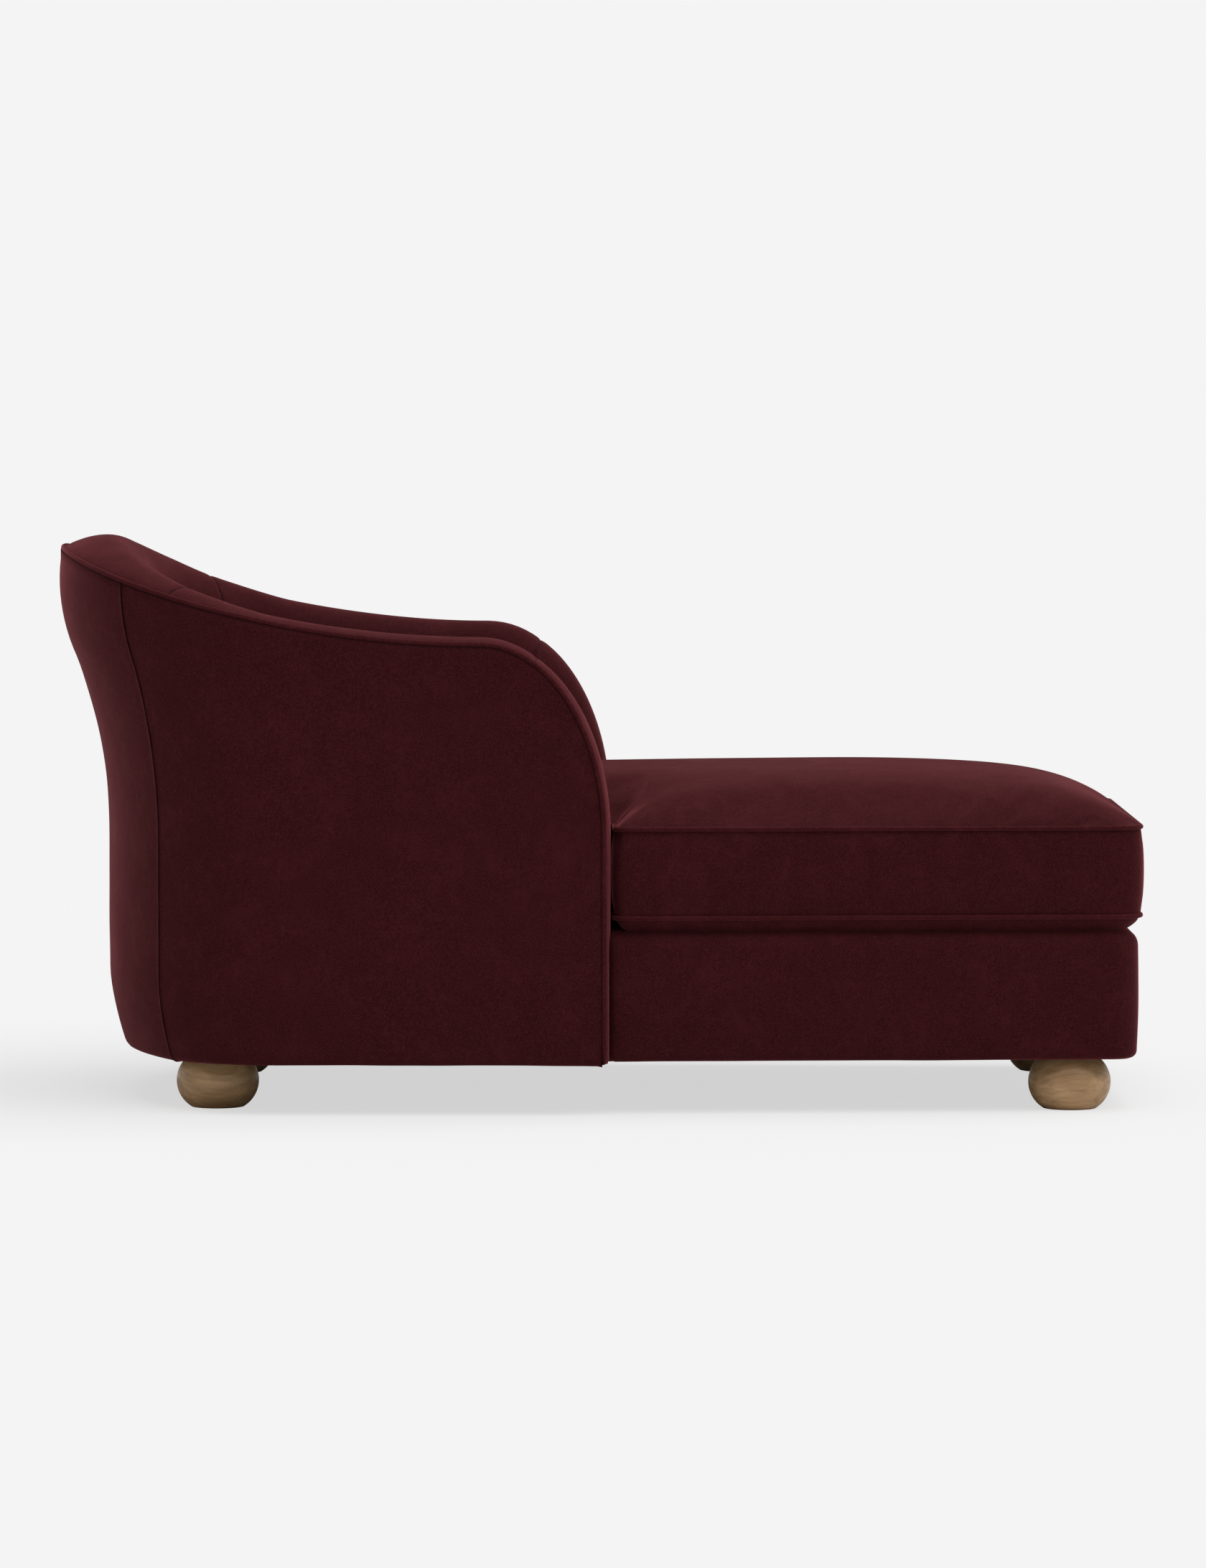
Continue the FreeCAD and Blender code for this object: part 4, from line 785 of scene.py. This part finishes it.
def arcPoint(angle, radius, z):
    # a point on the zip's arc: the angle runs from the rear towards +Y
    x = zipParts["axis"] - radius * np.cos(angle)
    return np.stack(np.broadcast_arrays(x, radius * np.sin(angle), z), axis=-1)


def arcBoxes(name, angles, radii, heights):
    # boxes between two angles, two radii and two heights, one for each row of the three arrays
    pick = np.array([[a, r, h] for a in (0, 1) for r in (0, 1) for h in (0, 1)])
    corners = arcPoint(angles[:, pick[:, 0]], radii[:, pick[:, 1]], heights[:, pick[:, 2]])
    sidesOfBox = np.array([[0, 1, 3, 2], [4, 6, 7, 5], [0, 4, 5, 1],
                           [2, 3, 7, 6], [0, 2, 6, 4], [1, 5, 7, 3]])
    faces = (np.arange(len(angles))[:, None, None] * 8 + sidesOfBox).reshape(-1, 4)
    made = meshObject(name, corners.reshape(-1, 3), faces, corners.reshape(-1, 3)[:, 1:], turned=True)
    edge = made.modifiers.new("softEdges", "BEVEL")
    edge.width = zipParts["bevel"]
    return made


span = np.radians(zipParts["halfAngle"])
turn = np.linspace(-span, span, 61)[:, None]
across = zipParts["middle"] + zipParts["width"] * np.linspace(-0.5, 0.5, 7)[None]
points = arcPoint(turn, zipParts["radius"], across)
zipTape = meshObject("zipTape", points.reshape(-1, 3), gridFaces(61, 7, flip=True), clothUV(points))
clothThickness(zipTape, zipParts["tape"])
places = np.arange(-span + zipParts["endAngle"], span - zipParts["endAngle"],
                   zipParts["pitch"] / zipParts["radius"])
half = zipParts["tooth"] / zipParts["radius"] / 2
shift = np.where(np.arange(len(places)) % 2, zipParts["stagger"], -zipParts["stagger"])
teeth = arcBoxes("zipTeeth", places[:, None] + np.array([[-half, half]]),
                 zipParts["radius"] + np.tile([[-0.0001, zipParts["toothDepth"]]], (len(places), 1)),
                 zipParts["middle"] + shift[:, None] + zipParts["toothHeight"] * np.array([[-0.5, 0.5]]))
at = math.asin(zipParts["sliderAt"] / zipParts["radius"])
body, tab = [np.array([-0.5, 0.5]) * zipParts[size] / zipParts["radius"]
             for size in ("sliderLength", "pullWidth")]
low = zipParts["middle"] - zipParts["sliderHeight"] / 2
tabTop = low + zipParts["pullTop"]
pull = arcBoxes("zipPull", at + np.array([body, tab]),
                zipParts["radius"] + np.array([zipParts["sliderDepth"], zipParts["pullDepth"]]),
                np.array([[low, low + zipParts["sliderHeight"]], [tabTop - zipParts["pullLength"], tabTop]]))
placePiece(zipTape, "cushion", "zip_cloth", "zip_tape")
placePiece(teeth, "cushion", "zip_metal")
placePiece(pull, "zip_slider", "zip_metal", "zip_slider")
print("cushion made")


# Lining cloths: over the seat's deck, and under the frame

linings = {"deckHeight": 0.2802, "dustHeight": 0.0824, "thickness": 0.001, "ripple": 0.0003,
           "deckInset": 0.0012, "deckEnd": 0.0255, "deckSide": 0.002, "earStart": -0.037, "earEnd": 0.0225,
           "earRound": 0.06, "earRoom": 0.0015, "dustInset": 0.0332, "dustSide": 0.0145, "dustEnd": 0.016,
           "dustRound": 0.026, "dustCorner": 0.040, "dustCornerReach": 0.024}


def liningObject(name, halfWidths, x, height, material, node):
    # rows across the cloth from side to side, with a slight ripple
    share = np.linspace(-1, 1, 41)[None]
    y = np.asarray(halfWidths)[:, None] * share
    z = height + linings["ripple"] * np.cos(9 * share)
    points = np.stack(np.broadcast_arrays(np.asarray(x)[:, None], y, z), axis=-1)
    made = meshObject(name, points.reshape(-1, 3), gridFaces(*points.shape[:2]), clothUV(points))
    clothThickness(made, linings["thickness"])
    placePiece(made, "frame", material, node)
    return made, points


roundPath = backPath(np.linspace(2, 90, 50))


def roundPart(inset, height):
    # x and half width of the tub's round at an inset and a height, from its rear to where the arms start
    place = wallPoints(roundPath, inset, height - roundPath[:, 6:7])[:, 0]
    return place[:, 0], place[:, 1]


rearX, rearHalf = roundPart(roundPath[:, 7:8] + linings["deckInset"], linings["deckHeight"])
armX = np.linspace(tub["roundStart"], linings["earStart"], 40)[1:]
earX = np.linspace(linings["earStart"], linings["earEnd"], 16)[1:]
roll = np.sqrt(np.clip(linings["earRound"] ** 2 - (earX - linings["earStart"]) ** 2, 0, None))
earHalf = tub["halfWidth"] - tub["crownReach"] - roll - linings["earRoom"]
deckX = np.concatenate([rearX, armX, earX, [linings["deckEnd"]]])
deckHalf = np.concatenate([rearHalf, np.full(len(armX), rearHalf[-1]), earHalf,
                           [base["halfNear"] - linings["deckSide"]]])
deckCloth, deckPoints = liningObject("deckCloth", deckHalf, deckX, linings["deckHeight"], "deck_cloth",
                                     "deck_cloth")
dustX, dustHalf = roundPart(linings["dustInset"], linings["dustHeight"])
frontX = np.linspace(tub["roundStart"], base["end"] - linings["dustEnd"], 70)[1:]
taperedHalf = base["halfNear"] - baseSlope * (frontX - base["start"]) - linings["dustSide"]
frontHalf = np.where(frontX < 0.02, dustHalf[-1], taperedHalf)
corner = np.clip(frontX - (base["end"] - linings["dustCorner"]), 0, linings["dustCornerReach"])
frontHalf = frontHalf - linings["dustRound"] + np.sqrt(linings["dustRound"] ** 2 - corner ** 2)
dustCloth, dustPoints = liningObject("dustCloth", np.concatenate([dustHalf, frontHalf]),
                                     np.concatenate([dustX, frontX]), linings["dustHeight"], "dust_cloth",
                                     "dust_cover")


# Materials

finishes = {
    "velvet": {"color": (0.037, 0.0058, 0.0070, 1), "nap": (0.080, 0.0145, 0.0175, 1),
               # seamShade is the colour of the painted shade in the seam grooves
               "dark": (0.027, 0.0043, 0.0052, 1), "seamShade": (0.006, 0.0015, 0.002, 1), "grain": 420.0,
               "patch": 16.0, "rough": 0.85, "sheen": 0.30, "sheenRough": 0.38, "tint": (1.0, 0.24, 0.27, 1)},
    "oak": {"light": (0.60, 0.375, 0.185, 1), "dark": (0.29, 0.165, 0.073, 1), "rough": 0.45, "coat": 0.08},
    "plywood": {"light": (0.56, 0.41, 0.26, 1), "dark": (0.40, 0.27, 0.15, 1), "rough": 0.62, "coat": 0.0},
    "beech": {"light": (0.52, 0.35, 0.21, 1), "dark": (0.38, 0.24, 0.13, 1), "rough": 0.58, "coat": 0.0},
}


def groupTree(name, inputs, outputs):
    # an empty node group with named sockets
    tree = bpy.data.node_groups.new(name, "ShaderNodeTree")
    for label, kind, value in inputs:
        socket = tree.interface.new_socket(name=label, in_out="INPUT", socket_type="NodeSocket" + kind)
        socket.default_value = value
    for label, kind in outputs:
        tree.interface.new_socket(name=label, in_out="OUTPUT", socket_type="NodeSocket" + kind)
    return tree, tree.nodes.new("NodeGroupInput"), tree.nodes.new("NodeGroupOutput")


def addNode(tree, kind, settings=None, inputs=None):
    # a shader node, its settings, and its inputs given as values or as sockets to link
    made = tree.nodes.new("ShaderNode" + kind)
    for key, value in (settings or {}).items():
        setattr(made, key, value)
    for key, value in (inputs or {}).items():
        if isinstance(value, bpy.types.NodeSocket):
            tree.links.new(value, made.inputs[key])
        else:
            made.inputs[key].default_value = value
    return made


def noise(tree, vector, scale, detail=2.0, rough=0.5, distort=0.0):
    inputs = {"Vector": vector, "Scale": scale, "Detail": detail, "Roughness": rough, "Distortion": distort}
    return addNode(tree, "TexNoise", None, inputs).outputs["Fac"]


def scaled(tree, vector, scale):
    return addNode(tree, "Mapping", None, {"Vector": vector, "Scale": scale}).outputs[0]


def ramp(tree, value, low, high, start=0.0, end=1.0):
    made = addNode(tree, "MapRange", {"clamp": True}, {"Value": value, "From Min": low, "From Max": high,
                                                       "To Min": start, "To Max": end})
    return made.outputs["Result"]


def mathNode(tree, operation, a, b):
    return addNode(tree, "Math", {"operation": operation}, {0: a, 1: b}).outputs[0]


def weighted(tree, a, b, share):
    # share of a and the rest of b
    return mathNode(tree, "ADD", mathNode(tree, "MULTIPLY", a, share),
                    mathNode(tree, "MULTIPLY", b, 1 - share))


def mixColor(tree, share, a, b, blend="MIX"):
    settings = {"data_type": "RGBA", "blend_type": blend}
    return addNode(tree, "Mix", settings, {0: share, 6: a, 7: b}).outputs[2]


def sendOut(tree, out, results):
    for key, value in results.items():
        tree.links.new(value, out.inputs[key])


def makeNapGroup():
    # velvet: soft patches where the pile leans, a fine pebbled grain, and painted shade beside seams
    tree, given, out = groupTree("velvetNap", [
        ("Color", "Color", (0.05, 0.01, 0.012, 1)), ("Nap Color", "Color", (0.09, 0.02, 0.03, 1)),
        ("Shade Color", "Color", (0.03, 0.006, 0.007, 1)), ("Patch Scale", "Float", 16.0),
        ("Grain Scale", "Float", 420.0), ("Seam", "Float", 0.2)],
        [("Color", "Color"), ("Roughness", "Float"), ("Height", "Float")])
    place = addNode(tree, "TexCoord").outputs["Object"]
    patches = noise(tree, place, given.outputs["Patch Scale"], 3.0, 0.62, 0.6)
    brushed = noise(tree, scaled(tree, place, (1.0, 1.0, 0.7)),
                    mathNode(tree, "MULTIPLY", given.outputs["Patch Scale"], 5.5), 2.0, 0.55, 0.8)
    grain = noise(tree, place, given.outputs["Grain Scale"], 2.0, 0.6)
    fine = noise(tree, place, mathNode(tree, "MULTIPLY", given.outputs["Grain Scale"], 3.1), 1.0, 0.5)
    lean = weighted(tree, patches, brushed, 0.62)
    color = mixColor(tree, ramp(tree, lean, 0.30, 0.72), given.outputs["Shade Color"], given.outputs["Color"])
    color = mixColor(tree, ramp(tree, lean, 0.52, 0.80, 0.0, 0.30), color, given.outputs["Nap Color"])
    pebble = weighted(tree, grain, fine, 0.65)
    color = mixColor(tree, ramp(tree, pebble, 0.42, 0.66, 0.0, 0.62), color, given.outputs["Nap Color"])
    # painted shade: within 4.5 mm of a seam the colour turns towards the seam shade colour, standing in for
    # the shadow in the seam's groove
    color = mixColor(tree, ramp(tree, given.outputs["Seam"], 0.0, 0.0045, 0.72, 0.0), color,
                     finishes["velvet"]["seamShade"])
    height = mathNode(tree, "ADD", pebble, mathNode(tree, "MULTIPLY", brushed, 0.6))
    rough = ramp(tree, lean, 0.3, 0.8, 0.9, 0.68)
    sendOut(tree, out, {"Color": color, "Roughness": rough, "Height": height})
    return tree


def makeGrainGroup():
    # wood: long stretched growth lines bent by slow noise, with short dark pores
    tree, given, out = groupTree("woodGrain", [
        ("Light", "Color", (0.4, 0.26, 0.14, 1)), ("Dark", "Color", (0.2, 0.12, 0.06, 1)),
        ("Lines", "Float", 60.0), ("Pores", "Float", 0.5)],
        [("Color", "Color"), ("Roughness", "Float"), ("Height", "Float")])
    place = addNode(tree, "TexCoord").outputs["Object"]
    slow = addNode(tree, "TexNoise", None, {"Vector": place, "Scale": 7.0, "Detail": 1.0}).outputs["Color"]
    shift = addNode(tree, "VectorMath", {"operation": "SCALE"}, {0: slow, "Scale": 0.055}).outputs[0]
    bent = addNode(tree, "VectorMath", {"operation": "ADD"}, {0: place, 1: shift}).outputs[0]
    stretched = scaled(tree, bent, (0.09, 0.55, 1.0))
    lines = noise(tree, stretched, given.outputs["Lines"], 4.0, 0.6, 0.3)
    broad = noise(tree, stretched, mathNode(tree, "MULTIPLY", given.outputs["Lines"], 0.3), 2.0, 0.5)
    pores = noise(tree, scaled(tree, bent, (0.05, 0.8, 1.0)),
                  mathNode(tree, "MULTIPLY", given.outputs["Lines"], 9.0), 2.0, 0.6)
    tone = weighted(tree, lines, broad, 0.65)
    color = mixColor(tree, ramp(tree, tone, 0.34, 0.66), given.outputs["Dark"], given.outputs["Light"])
    poreMask = mathNode(tree, "MULTIPLY", ramp(tree, pores, 0.60, 0.72), given.outputs["Pores"])
    color = mixColor(tree, poreMask, color, given.outputs["Dark"])
    sendOut(tree, out, {"Color": color, "Roughness": ramp(tree, tone, 0.3, 0.7, 1.15, 0.85),
                        "Height": mathNode(tree, "SUBTRACT", lines, poreMask)})
    return tree


def makeWeaveGroup():
    # plain weave: two sets of threads as sine ridges, crossed, with uneven colour and painted shade in the
    # hollows between threads
    tree, given, out = groupTree("plainWeave", [
        ("Color", "Color", (0.3, 0.22, 0.15, 1)), ("Thread", "Float", 900.0), ("Contrast", "Float", 0.5)],
        [("Color", "Color"), ("Height", "Float")])
    place = addNode(tree, "SeparateXYZ", None, {0: addNode(tree, "TexCoord").outputs["Object"]})
    ridges = []
    for axis, offset in ((0, 0.0), (1, 1.2)):
        wave = mathNode(tree, "MULTIPLY", place.outputs[axis], given.outputs["Thread"])
        wave = mathNode(tree, "ADD", wave, offset)
        ridges.append(mathNode(tree, "SINE", wave, 0.0))
    height = mathNode(tree, "MULTIPLY", ridges[0], ridges[1])
    worn = noise(tree, addNode(tree, "TexCoord").outputs["Object"], 35.0, 3.0)
    dark = mixColor(tree, 1.0, given.outputs["Color"], (0.45, 0.45, 0.45, 1), "MULTIPLY")
    # painted shade: the low parts of the weave are darkened by the Contrast share
    share = mathNode(tree, "MULTIPLY", ramp(tree, height, -1.0, 1.0, 1.0, 0.0), given.outputs["Contrast"])
    color = mixColor(tree, share, given.outputs["Color"], dark)
    color = mixColor(tree, ramp(tree, worn, 0.35, 0.75, 0.0, 0.35), color, dark)
    sendOut(tree, out, {"Color": color, "Height": height})
    return tree


def makeSpeckGroup():
    # foam, felt and fibre: fine cells with slow colour change
    tree, given, out = groupTree("fineCells", [
        ("Color", "Color", (0.78, 0.74, 0.62, 1)), ("Shade", "Color", (0.6, 0.55, 0.4, 1)),
        ("Scale", "Float", 500.0)], [("Color", "Color"), ("Height", "Float")])
    place = addNode(tree, "TexCoord").outputs["Object"]
    cells = addNode(tree, "TexVoronoi", None, {"Vector": place, "Scale": given.outputs["Scale"]})
    cells = cells.outputs["Distance"]
    slow = noise(tree, place, 12.0, 3.0)
    color = mixColor(tree, ramp(tree, cells, 0.1, 0.8, 0.0, 0.6), given.outputs["Color"],
                     given.outputs["Shade"])
    color = mixColor(tree, ramp(tree, slow, 0.4, 0.8, 0.0, 0.4), color, given.outputs["Shade"])
    sendOut(tree, out, {"Color": color, "Height": cells})
    return tree


napGroup, grainGroup = makeNapGroup(), makeGrainGroup()
weaveGroup, cellGroup = makeWeaveGroup(), makeSpeckGroup()


def newMaterial(name, group, values, shader, bumpHeight, bumpStrength):
    # a Principled material fed by one of the groups
    made = bpy.data.materials.new(name)
    made.use_nodes = True
    tree = made.node_tree
    surface = tree.nodes["Principled BSDF"]
    for key, value in shader.items():
        surface.inputs[key].default_value = value
    pattern = tree.nodes.new("ShaderNodeGroup")
    pattern.node_tree = group
    for key, value in values.items():
        pattern.inputs[key].default_value = value
    tree.links.new(pattern.outputs["Color"], surface.inputs["Base Color"])
    bump = addNode(tree, "Bump", None, {"Height": pattern.outputs["Height"], "Distance": bumpHeight,
                                        "Strength": bumpStrength})
    tree.links.new(bump.outputs[0], surface.inputs["Normal"])
    return made, tree, pattern, surface


def velvetMaterial(name, withSeams, paintedLightScale=1.0):
    look = finishes["velvet"]

    # paintedLightScale scales every velvet colour: above 1 it paints light onto a lighter copy of the same
    # velvet
    def shade(color):
        return tuple(c * paintedLightScale for c in color[:3]) + (1,)

    made, tree, pattern, surface = newMaterial(
        name, napGroup, {"Color": shade(look["color"]), "Nap Color": shade(look["nap"]),
                         "Shade Color": shade(look["dark"]), "Patch Scale": look["patch"],
                         "Grain Scale": look["grain"]},
        {"Roughness": look["rough"], "Specular IOR Level": 0.03, "Sheen Weight": look["sheen"],
         "Sheen Roughness": look["sheenRough"], "Sheen Tint": look["tint"]}, 0.0006, 0.35)
    tree.links.new(pattern.outputs["Roughness"], surface.inputs["Roughness"])
    if withSeams:
        seam = addNode(tree, "Attribute", {"attribute_name": "seamDistance"})
        tree.links.new(seam.outputs["Fac"], pattern.inputs["Seam"])
    return made


def woodMaterial(name, lines, pores, bump):
    look = finishes[name]
    made, tree, pattern, surface = newMaterial(
        name, grainGroup, {"Light": look["light"], "Dark": look["dark"], "Lines": lines, "Pores": pores},
        {"Coat Weight": look["coat"], "Coat Roughness": 0.28, "Specular IOR Level": 0.4}, 0.0004, bump)
    rough = mathNode(tree, "MULTIPLY", pattern.outputs["Roughness"], look["rough"])
    tree.links.new(rough, surface.inputs["Roughness"])
    return made


def wovenMaterial(name, color, thread, contrast):
    return newMaterial(name, weaveGroup, {"Color": color, "Thread": thread, "Contrast": contrast},
                       {"Roughness": 0.9, "Specular IOR Level": 0.05}, 0.0004, 0.5)[0]


def cellMaterial(name, color, shade, scale, rough=0.9, metal=0.0, bump=0.4):
    return newMaterial(name, cellGroup, {"Color": color, "Shade": shade, "Scale": scale},
                       {"Roughness": rough, "Metallic": metal}, 0.0003, bump)[0]


materials = {
    "velvet": velvetMaterial("wineVelvet", True),
    # the piping is the same velvet painted 15 % lighter, as painted light on its rounded cord
    "welt_velvet": velvetMaterial("pipingVelvetPaintedLighter", False, 1.15),
    "oak": woodMaterial("oak", 95.0, 0.55, 0.12),
    "plywood": woodMaterial("plywood", 60.0, 0.25, 0.15),
    "beech": woodMaterial("beech", 110.0, 0.5, 0.15),
    "webbing": wovenMaterial("elasticWebbing", (0.30, 0.22, 0.15, 1), 1500.0, 0.7),
    "deck_cloth": wovenMaterial("deckLining", (0.060, 0.012, 0.016, 1), 2600.0, 0.55),
    "dust_cloth": wovenMaterial("dustLining", (0.02, 0.02, 0.02, 1), 3000.0, 0.4),
    "zip_cloth": wovenMaterial("zipTape", (0.055, 0.012, 0.015, 1), 3200.0, 0.5),
    "foam": cellMaterial("seatFoam", (0.78, 0.74, 0.62, 1), (0.62, 0.56, 0.40, 1), 620.0),
    "fibre": cellMaterial("fibreWrap", (0.80, 0.80, 0.78, 1), (0.66, 0.66, 0.63, 1), 240.0),
    "felt": cellMaterial("glideFelt", (0.16, 0.13, 0.11, 1), (0.08, 0.065, 0.055, 1), 900.0),
    "zinc_steel": cellMaterial("zincPlate", (0.55, 0.55, 0.56, 1), (0.40, 0.40, 0.42, 1), 160.0, 0.36,
                               metal=1.0, bump=0.08),
    "zip_metal": cellMaterial("zipMetal", (0.35, 0.33, 0.32, 1), (0.24, 0.22, 0.21, 1), 300.0, 0.4,
                              metal=1.0, bump=0.08),
}
slotOf = {row["node"]: row["material_slot"] for row in frame["record"]["subparts"]}
for name, node in nodes.items():
    node.data.materials.clear()
    node.data.materials.append(materials[slotOf[name]])
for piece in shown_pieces():
    if "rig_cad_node" not in piece:
        piece.data.materials.append(materials[piece["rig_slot"]])
print("materials made")


# Floor, lights and camera

studio = {"background": 0.905, "floorTint": (0.905, 0.905, 0.905, 1), "fill": 0.24, "sun": 2.55,
          "sunSize": 70.0, "shadowShare": 0.30, "shadowEnd": 1.3, "floorFar": 3.2, "sunTurn": (8, 20, 0)}
bpy.ops.mesh.primitive_plane_add(size=60.0, location=(0, 0, 0))
floor = bpy.context.object
floor.name = "studioFloor"
floor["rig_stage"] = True
floorMaterial = bpy.data.materials.new("studioFloor")
floorMaterial.use_nodes = True
tree = floorMaterial.node_tree
tree.nodes.clear()
matte = addNode(tree, "BsdfDiffuse", None, {"Color": studio["floorTint"]})
glow = addNode(tree, "Emission", None, {"Color": studio["floorTint"], "Strength": 1.0})
flat = addNode(tree, "VectorMath", {"operation": "LENGTH"}, {0: addNode(tree, "TexCoord").outputs["Object"]})
far = ramp(tree, flat.outputs["Value"], studio["shadowEnd"], studio["floorFar"],
           1 - studio["shadowShare"], 1.0)
cameraRay = addNode(tree, "LightPath").outputs["Is Camera Ray"]
share = mathNode(tree, "MULTIPLY", far, cameraRay)
mixed = addNode(tree, "MixShader", None, {0: share, 1: matte.outputs[0], 2: glow.outputs[0]})
output = tree.nodes.new("ShaderNodeOutputMaterial")
tree.links.new(mixed.outputs[0], output.inputs["Surface"])
floor.data.materials.append(floorMaterial)

world = bpy.data.worlds.new("studio")
scene.world = world
world.use_nodes = True
tree = world.node_tree
sky = tree.nodes["Background"]
path = addNode(tree, "LightPath")
seen = mathNode(tree, "MAXIMUM", path.outputs["Is Camera Ray"], path.outputs["Is Glossy Ray"])
strength = addNode(tree, "MapRange", None,
                   {"Value": seen, "To Min": studio["fill"], "To Max": studio["background"]})
sky.inputs["Color"].default_value = (1, 1, 1, 1)
tree.links.new(strength.outputs["Result"], sky.inputs["Strength"])

sunData = bpy.data.lights.new("softSun", "SUN")
sunData.energy = studio["sun"]
sunData.angle = math.radians(studio["sunSize"])
sun = bpy.data.objects.new("softSun", sunData)
sun.rotation_euler = [math.radians(turn) for turn in studio["sunTurn"]]
scene.collection.objects.link(sun)

view = {"distance": 10.83, "height": 1.118, "side": 0.012, "pitch": 3.336, "yaw": 0.0, "lens": 156.2}
cameraData = bpy.data.cameras.new("photoCamera")
cameraData.lens = view["lens"]
cameraData.sensor_width = 36
cameraData.clip_end = 100
camera = bpy.data.objects.new("photoCamera", cameraData)
camera.location = (view["side"], -view["distance"], view["height"])
camera.rotation_euler = (math.radians(90 - view["pitch"]), 0, math.radians(view["yaw"]))
scene.collection.objects.link(camera)
scene.camera = camera
print("studio made")

low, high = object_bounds()
